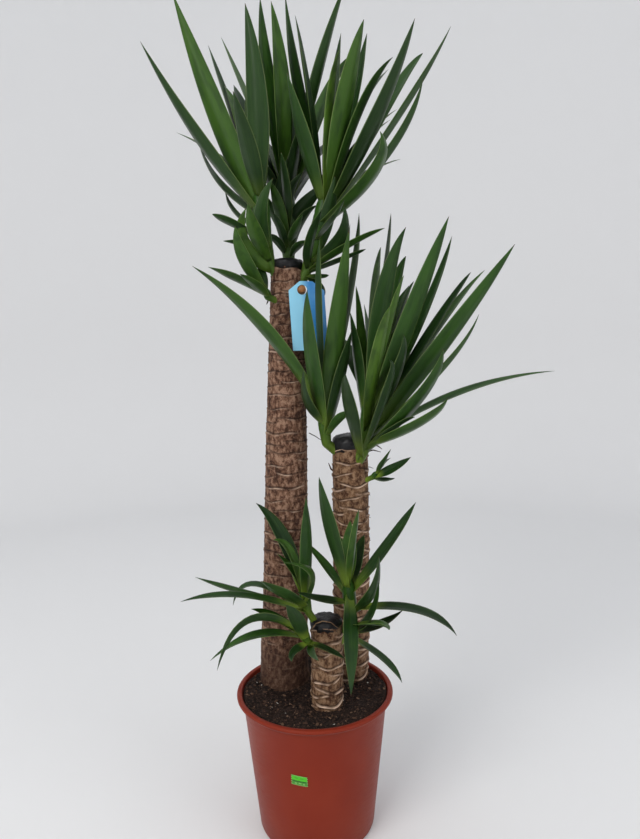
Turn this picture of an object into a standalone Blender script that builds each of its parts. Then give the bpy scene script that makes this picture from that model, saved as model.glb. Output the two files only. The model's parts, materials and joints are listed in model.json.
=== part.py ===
"""Potted yucca: three sawn canes with leafy shoots, standing in a filled nursery pot.

Metres, +Z up, origin at the centre of the pot's base, front towards -Y.
The leaves are laid along sight lines from one eye point in front of the plant: a leaf
row gives picture places (u across, v down) of its tip and its knee, the height v of its
root on the stem, its width as seen, and how far the tip reaches back (+) or forward (-)
from the stem in millimetres.
"""
import math
import random

import bmesh
import bpy
from mathutils import Vector
from mathutils.bvhtree import BVHTree

# Eye point and view that the leaf rows are read from
EYE = Vector((0.018, -1.091, 0.831))
VIEW_PITCH = math.radians(6.0)
VIEW_ROLL = math.radians(1.1)
VIEW_SCALE = 650.0
VIEW_U = 320.0
VIEW_V = 419.5
MM = 0.001

# Pot
POT_HEIGHT = 0.2425
RIM_RADIUS = 0.1365
RIM_INNER_RADIUS = 0.1275
LIP_DEPTH = 0.012
NECK_RADIUS = 0.1258
BASE_RADIUS = 0.1010
BASE_CHAMFER = 0.004
WALL = 0.0025
FLOOR = 0.003
POT_STEPS = 28
DRAIN_HOLES = 6
DRAIN_CIRCLE = 0.062
DRAIN_RADIUS = 0.006

# Soil
SOIL_TOP = 0.2385
SOIL_GAP = 0.0005
SOIL_RINGS = (0.1255, 0.106, 0.081, 0.050)
SOIL_WAVE = 0.0022
SOIL_EDGE = 0.0055
POT_CORNER = 0.010
CANE_BOTTOM = 0.110
BURIED_SHIFT = 0.86
CANE_FOOT = SOIL_TOP + 0.008
BURIED_SHARE = 0.74
FIT_GAP = 0.0003

# Canes: foot centre, foot radius, places (u, v, radius) up the cane, ring spacing, sides
CANES = {
    "tall_cane": {
        "foot": (-0.0545, 0.044, 0.0450),
        "line": ((284.5, 665, 0.0440), (285.5, 600, 0.0405), (286.5, 450, 0.0365),
                 (287, 350, 0.0320), (287, 265, 0.0268)),
        "ring": 0.054, "sides": 12, "seed": 3, "cap": 0.010,
    },
    "medium_cane": {
        "foot": (0.0660, 0.052, 0.0315),
        "line": ((351, 655, 0.0325), (351.5, 600, 0.0325), (351, 520, 0.0325),
                 (350, 446, 0.0310)),
        "ring": 0.040, "sides": 12, "seed": 7, "cap": 0.022,
    },
    "short_cane": {
        "foot": (0.0215, -0.045, 0.0265),
        "line": ((327, 690, 0.0270), (327, 660, 0.0268), (326, 622, 0.0258)),
        "ring": 0.026, "sides": 12, "seed": 11, "cap": 0.010,
    },
}
CAP_PROFILE = ((0.0, 1.0), (0.40, 1.0), (0.84, 0.80), (1.03, 0.35), (1.0, 0.0), (0.0, 0.0))
RING_RIDGE = 0.0016
RING_TILT = 0.0040
RING_WIDE = 0.22
RING_SINK = 0.7
RING_GROWTH = (0.6, 1.2)
RING_SPACING = (0.85, 1.15)
HOOK = (302, 289)
STUB_RADIUS = 0.0065
STUB_LENGTH = 0.018
STUB_SIDE = 0.012
STUB_DROP = 0.006
STUB_BEND = 0.014

# Leaves
LEAF_THICKNESS = 0.0013
LEAF_FOLD = 0.20
CLEARANCE = 0.0022
TRIES = (0, -12, 12, -24, 24, -36, 36, -50, 50, -65, 65, -80, 80, -100, 100, -125, 125, -150, 150)
GOLDEN_SHARE = 0.618
WIDTH_SLOPE = 0.16
WIDTH_LEAST = 0.006
HIDDEN_DROOP = 12.0
HIDDEN_RISE = 36.0
HIDDEN_SPAN = 34.0
HIDDEN_STRAY = 5.0
HIDDEN_TURN = 0.25
HIDDEN_SPREAD = 0.9
HIDDEN_WIDTH = 0.9
HIDDEN_LENGTHS = (0.75, 1.0)
ROOT_STEP = 2.2
CROWN_START = 0.25
CROWN_SPAN = 0.35
TOP_START = 0.8
TOP_TAPER = 2.6
ROOT_OFFSET = 0.55
SHORT_LEAF = 0.15
SMALL_LEAF = 0.06
FOLDED_LEAF = 0.21
FLAT_ENOUGH = 0.03

# Shoots: stem places (u, v, depth in mm), stem radius, real leaf width, hidden back leaves
SHOOTS = {
    "shoot_tall_left": {
        "stem": ((279, 281, 40), (270, 262, 30), (264, 235, 24), (261, 205, 22), (259, 186, 22)),
        "radius": 0.0085, "crown": 0.0140, "width": 0.038,
        "back": 7, "fan": (100, 155), "length": 0.28, "seed": 1,
        "leaves": (
            (140, 41, 197, 137, 212, 12, -50), (199, 143, 219, 183, 216, 6, 150),
            (172, -8, 217, 115, 206, 23, -40), (208, 45, 231, 114, 190, 7, 110),
            (233, 91, 247, 146, 200, 19, -130), (245, 3, 256, 97, 190, 23, -50),
            (273, 178, 260, 215, 252, 15, -70), (248, 203, 255, 233, 262, 16, -110),
            (246, 208, 243, 243, 271, 16, -60),
            (225, 190, 236, 214, 228, 5, 80), (212, 214, 228, 222, 240, 8, -60),
            (223, 241, 238, 243, 246, 5, -40),
        ),
    },
    "shoot_tall_low": {
        "stem": ((277, 301, 26), (268, 297, 18), (265, 288, 14)),
        "radius": 0.0055, "crown": 0.0065, "width": 0.024,
        "back": 1, "fan": (150, 200), "length": 0.07, "seed": 2,
        "leaves": (
            (235, 226, 243, 257, 290, 14, -60), (256, 257, 262, 274, 290, 8, 20),
            (208, 267, 236, 279, 292, 8, -50), (240, 274, 254, 284, 295, 9, -70),
        ),
    },
    "shoot_tall_back": {
        "stem": ((288, 285, 62), (289, 262, 84), (288, 240, 92), (287, 210, 94), (287, 180, 95)),
        "radius": 0.0100, "crown": 0.0150, "width": 0.038,
        "back": 9, "fan": (40, 140), "length": 0.26, "seed": 3,
        "leaves": (
            (260, -3, 267, 82, 175, 15, 10), (271, 1, 281, 84, 188, 17, 30),
            (351, 55, 323, 106, 197, 13, 40), (288, 158, 283, 192, 232, 17, -40),
            (303, 172, 288, 200, 236, 12, -50), (270, 181, 278, 206, 243, 12, -60),
            (303, 214, 295, 230, 247, 9, -60), (273, 213, 280, 228, 250, 9, -50),
            (221, 37, 245, 95, 190, 5, 40), (346, -18, 320, 70, 185, 11, 0),
            (331, 178, 303, 207, 226, 16, -60), (312, 160, 296, 184, 205, 6, 30),
            (303, 118, 294, 160, 200, 12, -50), (262, 160, 273, 184, 213, 10, -30),
            (281, 152, 285, 187, 226, 10, -70), (257, 192, 270, 208, 230, 9, -50),
            (318, 205, 301, 222, 238, 9, -50), (266, 236, 276, 240, 250, 8, -50),
            (308, 241, 298, 246, 254, 8, -50),
        ),
    },
    "shoot_tall_right": {
        "stem": ((297, 290, 42), (306, 272, 36), (315, 245, 30), (323, 215, 28), (327, 188, 28)),
        "radius": 0.0090, "crown": 0.0150, "width": 0.040,
        "back": 6, "fan": (25, 80), "length": 0.28, "seed": 4,
        "leaves": (
            (285, -6, 298, 95, 192, 12, 40), (295, 15, 307, 90, 195, 5, 90),
            (287, 73, 302, 137, 203, 15, -60), (341, 33, 333, 110, 190, 12, 100),
            (364, 19, 347, 95, 200, 19, -90), (340, 49, 332, 105, 204, 9, -100),
            (367, 33, 353, 105, 195, 12, 30),
            (393, 57, 361, 112, 190, 9, -50), (372, 86, 344, 138, 200, 6, 120),
            (415, 18, 380, 113, 198, 15, -80), (423, 53, 390, 102, 190, 12, 60),
            (451, 26, 403, 112, 190, 5, -20), (423, 79, 391, 152, 212, 9, -130),
            (380, 131, 374, 174, 222, 14, -160), (322, 209, 311, 240, 268, 11, -100),
            (335, 176, 328, 215, 258, 16, -110), (344, 200, 334, 218, 240, 6, -140),
            (344, 205, 340, 240, 264, 14, -90), (385, 228, 353, 244, 262, 7, -60),
            (366, 249, 347, 258, 266, 5, -50), (329, 275, 321, 277, 276, 5, -40),
            (322, 299, 321, 288, 278, 6, -50),
        ),
    },
    "shoot_medium_left": {
        "stem": ((336, 451, 46), (326.5, 443, 34), (324.5, 427, 26), (323.5, 405, 23), (323, 390, 22)),
        "radius": 0.0085, "crown": 0.0115, "width": 0.034,
        "back": 4, "fan": (100, 160), "length": 0.22, "seed": 5,
        "leaves": (
            (192, 266, 264, 329, 410, 14, -60), (284, 315, 290, 359, 420, 6, 110),
            (304, 370, 306, 400, 424, 9, -70), (307, 290, 310, 354, 428, 16, -120),
            (320, 238, 317, 308, 416, 7, -80), (349, 230, 337, 330, 421, 21, -120),
            (359, 213, 352, 290, 412, 8, 60), (350, 224, 343, 290, 398, 6, 40),
            (352, 330, 341, 378, 425, 12, -50),
            (351, 413, 340, 418, 432, 9, -60),
        ),
    },
    "shoot_medium_right": {
        "stem": ((356, 464, 38), (363, 451, 22), (366, 430, 18), (369, 405, 18), (370, 385, 18)),
        "radius": 0.0105, "crown": 0.0125, "width": 0.034,
        "back": 5, "fan": (35, 100), "length": 0.22, "seed": 6,
        "leaves": (
            (356, 286, 360, 335, 415, 9, 60), (364, 304, 368, 345, 402, 6, 110),
            (350, 312, 356, 356, 418, 10, 20), (404, 335, 398, 372, 426, 12, -60),
            (381, 247, 376, 290, 395, 8, 140), (391, 213, 386, 275, 392, 5, 110),
            (406, 227, 383, 302, 412, 19, -60), (406, 256, 392, 302, 398, 14, 40),
            (404, 275, 391, 322, 405, 7, -110), (390, 306, 378, 356, 430, 14, -170),
            (449, 216, 413, 311, 420, 19, -50), (452, 236, 424, 315, 420, 10, 50),
            (414, 281, 398, 320, 400, 8, 110), (471, 272, 436, 325, 412, 9, 10),
            (485, 270, 440, 326, 405, 8, 90), (515, 244, 448, 337, 422, 18, -60),
            (479, 314, 442, 371, 415, 5, -90), (555, 371, 461, 393, 428, 6, 30),
            (448, 398, 420, 424, 446, 10, -110), (415, 417, 398, 426, 440, 5, -70),
            (443, 349, 422, 396, 434, 13, -140), (381, 401, 383, 424, 444, 8, -90),
            (346, 375, 348, 404, 438, 14, -90), (389, 360, 389, 388, 434, 8, -110),
        ),
    },
    "shoot_medium_side": {
        "stem": ((366, 480, 36), (373, 477, 26), (377, 472, 22)),
        "radius": 0.0045, "crown": 0.0050, "width": 0.018,
        "back": 1, "fan": (0, 40), "length": 0.05, "seed": 7,
        "leaves": (
            (391, 449, 383, 463, 473, 5, -30), (411, 457, 394, 468, 475.5, 9, -40),
            (395, 478, 386, 480, 478, 4, -20),
        ),
    },
    "shoot_short_left": {
        "stem": ((315, 622, -50), (308, 611, -60), (305, 598, -62), (304, 588, -62)),
        "radius": 0.0060, "crown": 0.0090, "width": 0.027,
        "back": 2, "fan": (95, 160), "length": 0.09, "seed": 8,
        "leaves": (
            (256, 503, 282, 536, 592, 14, 60), (306, 497, 307, 548, 600, 13, -40),
            (273, 540, 290, 552, 594, 8, 20), (282, 562, 312, 574, 602, 6, -100),
            (261, 581, 283, 594, 606, 11, -110), (195, 577, 242, 593, 600, 6, 20),
            (180, 602, 240, 596, 606, 7, -50), (233, 606, 255, 585, 598, 6, 60),
        ),
    },
    "shoot_short_low": {
        "stem": ((317, 646, -52), (308, 642, -66), (304, 634, -68), (302, 626, -68)),
        "radius": 0.0055, "crown": 0.0085, "width": 0.026,
        "back": 1, "fan": (150, 190), "length": 0.07, "seed": 9,
        "leaves": (
            (217, 671, 250, 621, 632, 8, -90), (210, 661, 255, 636, 637, 8, -60),
            (251, 609, 274, 617, 634, 8, 0), (286, 605, 297, 620, 634, 16, -60),
            (292, 662, 294, 652, 641, 8, -50), (319, 661, 312, 650, 640, 9, -80),
            (345, 659, 328, 650, 638, 6, -50),
        ),
    },
    "shoot_short_right": {
        "stem": ((336, 646, -42), (345, 634, -44), (351, 615, -50), (349, 592, -52), (348, 578, -52)),
        "radius": 0.0070, "crown": 0.0110, "width": 0.030,
        "back": 3, "fan": (50, 110), "length": 0.12, "seed": 10,
        "leaves": (
            (319, 477, 329, 526, 588, 14, -60), (359, 509, 354, 542, 582, 8, -50),
            (416, 502, 390, 543, 588, 11, -20), (379, 556, 373, 592, 612, 10, -70),
            (379, 581, 371, 616, 630, 8, -100), (351, 696, 350, 640, 594, 16, -110),
            (457, 636, 418, 611, 608, 9, -60), (403, 610, 380, 625, 630, 8, -40),
            (389, 630, 376, 624, 624, 4, -60), (402, 683, 384, 660, 633, 7, -30),
            (302, 540, 323, 563, 588, 8, 50), (296, 592, 322, 600, 600, 8, -60),
        ),
    },
}

# Tag and sticker
TAG_WIDTH = 0.059
TAG_HEIGHT = 0.114
TAG_HOLE = 0.0080
TAG_THICKNESS = 0.0008
TAG_BEND = 0.016
TAG_SHIFT = 0.0095
TAG_FRONT = 0.002
TAG_ABOVE = 0.014
TAG_LEAN = 0.006
TAG_SHOULDER = 0.35
TAG_SLOPE = 0.13
STICKER_PLACE = (299.5, 780.5)
STICKER_WIDTH = 0.026
STICKER_HEIGHT = 0.017
STICKER_THICKNESS = 0.0006
STICKER_TILT = 0.09

# Colour, roughness and metallic value of every material
COLOURS = {
    "pot_plastic": ((0.30, 0.055, 0.030), 0.35, 0.0),
    "soil_mix": ((0.022, 0.012, 0.009), 0.95, 0.0),
    "bark": ((0.17, 0.095, 0.055), 0.85, 0.0),
    "wax": ((0.010, 0.010, 0.012), 0.35, 0.0),
    "leaf_green": ((0.045, 0.130, 0.025), 0.42, 0.0),
    "tag_sheet": ((0.030, 0.210, 0.500), 0.35, 0.0),
    "sticker_paper": ((0.10, 0.80, 0.05), 0.50, 0.0),
}
SMOOTH_ANGLE = math.radians(40.0)
UP = Vector((0.0, 0.0, 1.0))


def clear_scene():
    """Remove every object and collection that the start-up file brings."""
    for thing in list(bpy.data.objects):
        bpy.data.objects.remove(thing, do_unlink=True)
    for group in list(bpy.data.collections):
        bpy.data.collections.remove(group)


def new_collection(name):
    """Make a collection in the scene."""
    group = bpy.data.collections.new(name)
    bpy.context.scene.collection.children.link(group)
    return group


def material(name):
    """Make, or find, a plain material from the colour table."""
    found = bpy.data.materials.get(name)
    if found:
        return found
    colour, rough, metal = COLOURS[name]
    made = bpy.data.materials.new(name)
    made.use_nodes = True
    shader = made.node_tree.nodes["Principled BSDF"]
    shader.inputs["Base Color"].default_value = (*colour, 1.0)
    shader.inputs["Roughness"].default_value = rough
    shader.inputs["Metallic"].default_value = metal
    made.diffuse_color = (*colour, 1.0)
    return made


def mesh_object(name, bm, group, paint):
    """Turn a bmesh into an object with one material."""
    mesh = bpy.data.meshes.new(name)
    bm.to_mesh(mesh)
    bm.free()
    made = bpy.data.objects.new(name, mesh)
    group.objects.link(made)
    mesh.materials.append(material(paint))
    return made


def apply_modifiers(thing):
    """Bake an object's modifiers into its own mesh."""
    graph = bpy.context.evaluated_depsgraph_get()
    graph.update()
    baked = bpy.data.meshes.new_from_object(thing.evaluated_get(graph))
    thing.modifiers.clear()
    thing.data = baked
    baked.name = thing.name


def cut(thing, cutter):
    """Subtract a cutter from an object and bake the result."""
    boolean = thing.modifiers.new("cut", "BOOLEAN")
    boolean.operation = "DIFFERENCE"
    boolean.solver = "EXACT"
    boolean.object = cutter
    apply_modifiers(thing)


def as_cutter(thing):
    """Mark an object as a construction body."""
    thing.hide_render = True
    thing.display_type = "WIRE"
    return thing


def sight(u, v):
    """Direction of the sight line through a picture place."""
    forward = Vector((0.0, math.cos(VIEW_PITCH), -math.sin(VIEW_PITCH)))
    across = Vector((1.0, 0.0, 0.0))
    down = Vector((0.0, -math.sin(VIEW_PITCH), -math.cos(VIEW_PITCH)))
    turned_across = across * math.cos(VIEW_ROLL) + down * math.sin(VIEW_ROLL)
    turned_down = down * math.cos(VIEW_ROLL) - across * math.sin(VIEW_ROLL)
    return forward * VIEW_SCALE + turned_across * (u - VIEW_U) + turned_down * (v - VIEW_V)


def seen(u, v, depth):
    """Point on a sight line at a given depth (world Y)."""
    ray = sight(u, v)
    return EYE + ray * ((depth - EYE.y) / ray.y)


def loft(name, rows, group, paint):
    """Closed body through rings of equal point count, with flat ends."""
    bm = bmesh.new()
    rings = [[bm.verts.new(point) for point in row] for row in rows]
    count = len(rings[0])
    for low, high in zip(rings, rings[1:]):
        for i in range(count):
            j = (i + 1) % count
            bm.faces.new((low[i], low[j], high[j], high[i]))
    bm.faces.new(list(reversed(rings[0])))
    bm.faces.new(rings[-1])
    bmesh.ops.recalc_face_normals(bm, faces=bm.faces)
    return mesh_object(name, bm, group, paint)


def screw_body(name, profile, steps, group, paint):
    """Turn a profile in the XZ plane about the Z axis."""
    bm = bmesh.new()
    points = [bm.verts.new((x, 0.0, z)) for x, z in profile]
    for a, b in zip(points, points[1:]):
        bm.edges.new((a, b))
    made = mesh_object(name, bm, group, paint)
    screw = made.modifiers.new("turn", "SCREW")
    screw.axis = "Z"
    screw.angle = 2.0 * math.pi
    screw.steps = steps
    screw.render_steps = steps
    screw.use_merge_vertices = True
    screw.merge_threshold = 0.00005
    apply_modifiers(made)
    return made


def rod(name, centre, axis, radius, length, group, paint):
    """Straight round rod about its centre."""
    bm = bmesh.new()
    bmesh.ops.create_cone(bm, cap_ends=True, segments=12, radius1=radius, radius2=radius,
                          depth=length)
    made = mesh_object(name, bm, group, paint)
    made.location = centre
    made.rotation_euler = axis.to_track_quat("Z", "Y").to_euler()
    return made


def thicken(sheet, thickness):
    """Give a triangulated sheet its thickness, half to each side."""
    solid = sheet.modifiers.new("thick", "SOLIDIFY")
    solid.thickness = thickness
    solid.offset = 0.0
    apply_modifiers(sheet)
    return sheet


def wall_radius(z):
    """Outer radius of the pot's tapered wall at a height."""
    return BASE_RADIUS + (NECK_RADIUS - BASE_RADIUS) * z / (POT_HEIGHT - LIP_DEPTH)


def build_pot(group, cutters):
    """Tapered pot with a flared lip and a flat floor with drain holes."""
    lip_under = POT_HEIGHT - LIP_DEPTH
    top = POT_HEIGHT
    profile = [
        (0.0, FLOOR), (wall_radius(FLOOR) - WALL - 0.003, FLOOR),
        (wall_radius(FLOOR + 0.003) - WALL, FLOOR + 0.003),
        (wall_radius(lip_under) - WALL, lip_under + 0.002),
        (RIM_INNER_RADIUS - 0.0015, lip_under + 0.004), (RIM_INNER_RADIUS, top - 0.0010),
        (RIM_INNER_RADIUS + 0.002, top), (RIM_RADIUS - 0.0022, top),
        (RIM_RADIUS, top - 0.0022), (RIM_RADIUS, top - 0.0055),
        (RIM_RADIUS - 0.003, top - 0.0070), (wall_radius(lip_under) + 0.002, lip_under),
        (wall_radius(lip_under - 0.004), lip_under - 0.004),
        (wall_radius(BASE_CHAMFER), BASE_CHAMFER), (BASE_RADIUS - BASE_CHAMFER, 0.0), (0.0, 0.0),
    ]
    pot = screw_body("pot", profile, POT_STEPS, group, "pot_plastic")
    for k in range(DRAIN_HOLES):
        angle = 2.0 * math.pi * (k + 0.5) / DRAIN_HOLES
        centre = Vector((DRAIN_CIRCLE * math.cos(angle), DRAIN_CIRCLE * math.sin(angle), 0.0))
        hole = rod(f"drain_{k}", centre, UP, DRAIN_RADIUS, 0.02, cutters, "pot_plastic")
        cut(pot, as_cutter(hole))
    return pot


def soil_height(x, y):
    """Uneven top of the soil, with one lump at the front left."""
    wave = math.sin(55 * x + 1.0) * math.cos(47 * y) + 0.5 * math.sin(121 * x - 83 * y)
    lump = 0.005 * math.exp(-((x + 0.083) ** 2 + (y + 0.018) ** 2) / 0.00012)
    return SOIL_TOP + SOIL_WAVE * wave + lump


def build_soil(group, cutters):
    """Soil body that fills the pot, with a plain blind hole for every cane."""
    low = FLOOR + SOIL_GAP
    bottom = wall_radius(low) - WALL - 0.004
    inside = [(wall_radius(z) - WALL - SOIL_GAP, z) for z in (SOIL_TOP - SOIL_EDGE, POT_CORNER)]
    profile = [(0.0, SOIL_TOP)] + [(radius, SOIL_TOP) for radius in reversed(SOIL_RINGS)]
    profile += inside + [(bottom, low), (0.0, low)]
    soil = screw_body("soil", profile, POT_STEPS, group, "soil_mix")
    for vert in soil.data.vertices:
        if vert.co.z > SOIL_TOP - 0.001:
            vert.co.z = soil_height(vert.co.x, vert.co.y)
    for name, cane in CANES.items():
        hole = loft(f"hole_{name}", buried_rows(cane, FIT_GAP * 1.5), cutters, "soil_mix")
        cut(soil, as_cutter(hole))
    return soil


def ring_points(centre, axis, radius, sides):
    """Points of a regular ring about an axis."""
    axis = axis.normalized()
    side = axis.cross(Vector((0.0, 1.0, 0.0)))
    if side.length < 0.1:
        side = axis.cross(Vector((1.0, 0.0, 0.0)))
    side.normalize()
    other = axis.cross(side)
    angles = [2.0 * math.pi * k / sides for k in range(sides)]
    return [centre + side * (radius * math.cos(a)) + other * (radius * math.sin(a)) for a in angles]


def cane_axis(cane):
    """Points (x, y, z, radius) up the middle of a cane above the soil."""
    x, y, radius = cane["foot"]
    line = [(x, y, CANE_FOOT, radius)]
    for u, v, r in cane["line"]:
        point = seen(u, v, y)
        line.append((point.x, y, point.z, r))
    return line


def buried_rows(cane, gap):
    """Rings of the narrower part of a cane that stands in the soil."""
    x, y, radius = cane["foot"]
    peg = Vector((x * BURIED_SHIFT, y * BURIED_SHIFT, 0.0))
    rows = []
    for z in (CANE_BOTTOM - gap, SOIL_TOP - 0.030):
        rows.append(ring_points(peg + UP * z, UP, radius * BURIED_SHARE + gap, cane["sides"]))
    foot = Vector((x, y, CANE_FOOT))
    rows.append(ring_points(foot, UP, radius + gap, cane["sides"]))
    if gap:
        rows.append(ring_points(foot + UP * 0.03, UP, radius + gap, cane["sides"]))
    return rows


def axis_at(line, z):
    """Centre and radius of a cane at a height."""
    for low, high in zip(line, line[1:]):
        if z <= high[2]:
            part = (z - low[2]) / (high[2] - low[2])
            mixed = [a + (b - a) * part for a, b in zip(low, high)]
            return Vector((mixed[0], mixed[1], z)), mixed[3]
    return Vector((line[-1][0], line[-1][1], z)), line[-1][3]


def cane_rows(cane, line):
    """Rings of a cane: plain in the soil, then tilted leaf-scar ridges to the cut top."""
    chance = random.Random(cane["seed"])
    sides = cane["sides"]
    rows = buried_rows(cane, 0.0)
    top = line[-1][2]
    z = CANE_FOOT + cane["ring"] * 0.5
    while z < top - cane["ring"] * RING_SINK:
        phase = chance.uniform(0, 2 * math.pi)
        grow = chance.uniform(*RING_GROWTH) * RING_RIDGE
        for dz, out in ((0.0, grow), (cane["ring"] * RING_WIDE, -grow * RING_SINK)):
            centre, r = axis_at(line, z + dz)
            ring = ring_points(centre, UP, r + out, sides)
            for k, point in enumerate(ring):
                point.z += RING_TILT * math.sin(2 * math.pi * k / sides + phase)
            rows.append(ring)
        z += cane["ring"] * chance.uniform(*RING_SPACING)
    centre, r = axis_at(line, top)
    rows.append(ring_points(centre, UP, r, sides))
    return rows


def build_cane(name, group):
    """One sawn cane."""
    cane = CANES[name]
    return loft(name, cane_rows(cane, cane_axis(cane)), group, "bark")


def build_cap(name, cane_name, group):
    """Low wax dome that seals a cane's cut top."""
    cane = CANES[cane_name]
    line = cane_axis(cane)
    centre, radius = axis_at(line, line[-1][2])
    rise = cane["cap"]
    profile = [(radius * wide, rise * high) for wide, high in CAP_PROFILE]
    cap = screw_body(name, profile, cane["sides"], group, "wax")
    cap.location = centre + UP * FIT_GAP
    return cap


def stem_rows(shoot, extra=0.0, foot_extra=0.0):
    """Rings of a shoot's stem, from the foot in the cane up to the crown."""
    points = [seen(u, v, d * MM) for u, v, d in shoot["stem"]]
    radius = shoot["radius"]
    path = []
    for a, b in zip(points, points[1:]):
        path += [a, (a + b) * 0.5]
    path.append(points[-1])
    if foot_extra:
        path[0] = path[0] + (path[0] - path[1]).normalized() * foot_extra
    rows = []
    for i, point in enumerate(path):
        ahead = path[min(i + 1, len(path) - 1)]
        behind = path[max(i - 1, 0)]
        part = i / (len(path) - 1)
        swell = min(max((part - CROWN_START) / CROWN_SPAN, 0.0), 1.0)
        wide = radius + (shoot["crown"] - radius) * swell
        wide *= 1.0 - TOP_TAPER * max(part - TOP_START, 0.0)
        rows.append(ring_points(point, ahead - behind, wide + extra, 8))
    return rows, points


def stem_point(points, v_rows, v):
    """Place on the stem's middle at picture height v."""
    for (a, va), (b, vb) in zip(zip(points, v_rows), zip(points[1:], v_rows[1:])):
        if va >= v >= vb:
            return a + (b - a) * ((va - v) / (va - vb))
    return points[-1].copy() if v < v_rows[-1] else points[1].copy()


def off_axis(shoot, root, tip):
    """Root moved from the stem's middle towards the side that the leaf grows on."""
    flat = Vector((tip.x - root.x, tip.y - root.y, 0.0)).normalized()
    return root + flat * (shoot["crown"] * ROOT_OFFSET)


def seen_leaf(shoot, points, row, shift):
    """Root, knee, tip, width and turn of a leaf that a row describes."""
    tip_u, tip_v, knee_u, knee_v, root_v, seen_width, reach = row
    v_rows = [v for _, v, _ in shoot["stem"]]
    root = stem_point(points, v_rows, root_v)
    away = (reach + shift) * MM
    tip = seen(tip_u, tip_v, root.y + away)
    root = off_axis(shoot, root, tip)
    first = (seen(knee_u, knee_v, root.y) - root).length
    second = (seen(tip_u, tip_v, root.y) - seen(knee_u, knee_v, root.y)).length
    knee = seen(knee_u, knee_v, root.y + away * first / (first + second))
    size = seen_width * (tip - EYE).dot(sight(VIEW_U, VIEW_V)) / VIEW_SCALE ** 2
    length = (knee - root).length + (tip - knee).length
    width = max(size, min(shoot["width"], WIDTH_SLOPE * length + WIDTH_LEAST))
    return root, knee, tip, width, min(size / width, 0.98)


def spread_roots(rows):
    """Move roots that share a height down the stem, one step apart."""
    used = []
    moved = []
    for row in rows:
        v = row[4]
        while any(abs(v - other) < ROOT_STEP for other in used):
            v += 0.5
        used.append(v)
        moved.append(row[:4] + (v,) + row[5:])
    return moved


def hidden_leaf(shoot, points, k, shift):
    """Leaf on the far side of a shoot, set by the golden angle."""
    chance = random.Random(shoot["seed"] * 100 + k)
    part = (k + 0.5) / shoot["back"]
    root = points[-1] + (points[-2] - points[-1]) * (1.0 - part) * HIDDEN_SPREAD
    start, end = shoot["fan"]
    share = (k * GOLDEN_SHARE + 0.3) % 1.0
    turn = math.radians(start + (end - start) * share + shift * HIDDEN_TURN)
    stray = chance.uniform(-HIDDEN_STRAY, HIDDEN_STRAY)
    rise = math.radians(HIDDEN_RISE + HIDDEN_SPAN * part + stray)
    length = shoot["length"] * chance.uniform(*HIDDEN_LENGTHS)
    out = Vector((math.cos(turn), math.sin(turn), 0.0))
    knee = root + (out * math.cos(rise) + UP * math.sin(rise)) * length * 0.5
    droop = rise - math.radians(HIDDEN_DROOP)
    tip = knee + (out * math.cos(droop) + UP * math.sin(droop)) * length * 0.5
    root = off_axis(shoot, root, tip)
    return root, knee, tip, shoot["width"] * HIDDEN_WIDTH, None


def width_share(t):
    """Leaf width along its length, as a share of the widest place."""
    if t < 0.38:
        return 0.46 + 0.54 * math.sin(0.5 * math.pi * t / 0.38)
    far = (t - 0.38) / 0.62
    return 0.05 + 0.95 * (1.0 - far ** 1.9)


def leaf_rows(leaf, count):
    """Rows of three points (edge, midrib, edge) and the upper normal of each row."""
    root, knee, tip, width, turn = leaf
    pull = knee * 2.0 - (root + tip) * 0.5
    rows = []
    sign = None
    for i in range(count + 1):
        t = i / count
        place = root * (1 - t) ** 2 + pull * (2 * t * (1 - t)) + tip * t * t
        along = ((pull - root) * (1 - t) + (tip - pull) * t).normalized()
        flat = Vector((tip.x - root.x, tip.y - root.y, 0.0)).normalized()
        level = flat.cross(UP)
        side = (level - along * level.dot(along)).normalized()
        if turn is not None:
            view = (place - EYE).normalized()
            across = along.cross(view).normalized()
            into = across.cross(along).normalized()
            lean = math.sqrt(1.0 - turn * turn)
            if sign is None:
                sign = 1.0 if side.dot(across) * side.dot(into) >= 0 else -1.0
            side = across * turn + into * (lean * sign)
        normal = side.cross(along).normalized()
        if normal.z < 0 or (abs(normal.z) < 0.2 and normal.dot(flat) > 0):
            normal.negate()
        if rows and rows[-1][3].dot(normal) < 0:
            normal.negate()
        half = 0.5 * width * width_share(t)
        lift = normal * (LEAF_FOLD * half)
        rows.append((place - side * half + lift, place - lift * 0.5, place + side * half + lift, normal))
    return rows


def leaf_length(leaf):
    """Length of a leaf from root to tip over its knee."""
    return (leaf[1] - leaf[0]).length + (leaf[2] - leaf[1]).length


def leaf_count(leaf):
    """Number of steps along a leaf."""
    length = leaf_length(leaf)
    return 4 if length > SHORT_LEAF else 3 if length > SMALL_LEAF else 2


def sheets(rows, offset):
    """Tree of a leaf's two faces, set off by a distance on both sides."""
    points = []
    polygons = []
    for way in (offset, -offset):
        start = len(points)
        for left, middle, right, normal in rows:
            points += [left + normal * way, middle + normal * way, right + normal * way]
        for i in range(len(rows) - 1):
            for j in range(2):
                a = start + 3 * i + j
                polygons += [(a, a + 1, a + 4), (a, a + 4, a + 3)]
    return BVHTree.FromPolygons(points, polygons)


def tree_of(thing):
    """Search tree of an object's mesh."""
    points = [thing.matrix_world @ v.co for v in thing.data.vertices]
    return BVHTree.FromPolygons(points, [tuple(p.vertices) for p in thing.data.polygons])


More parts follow.
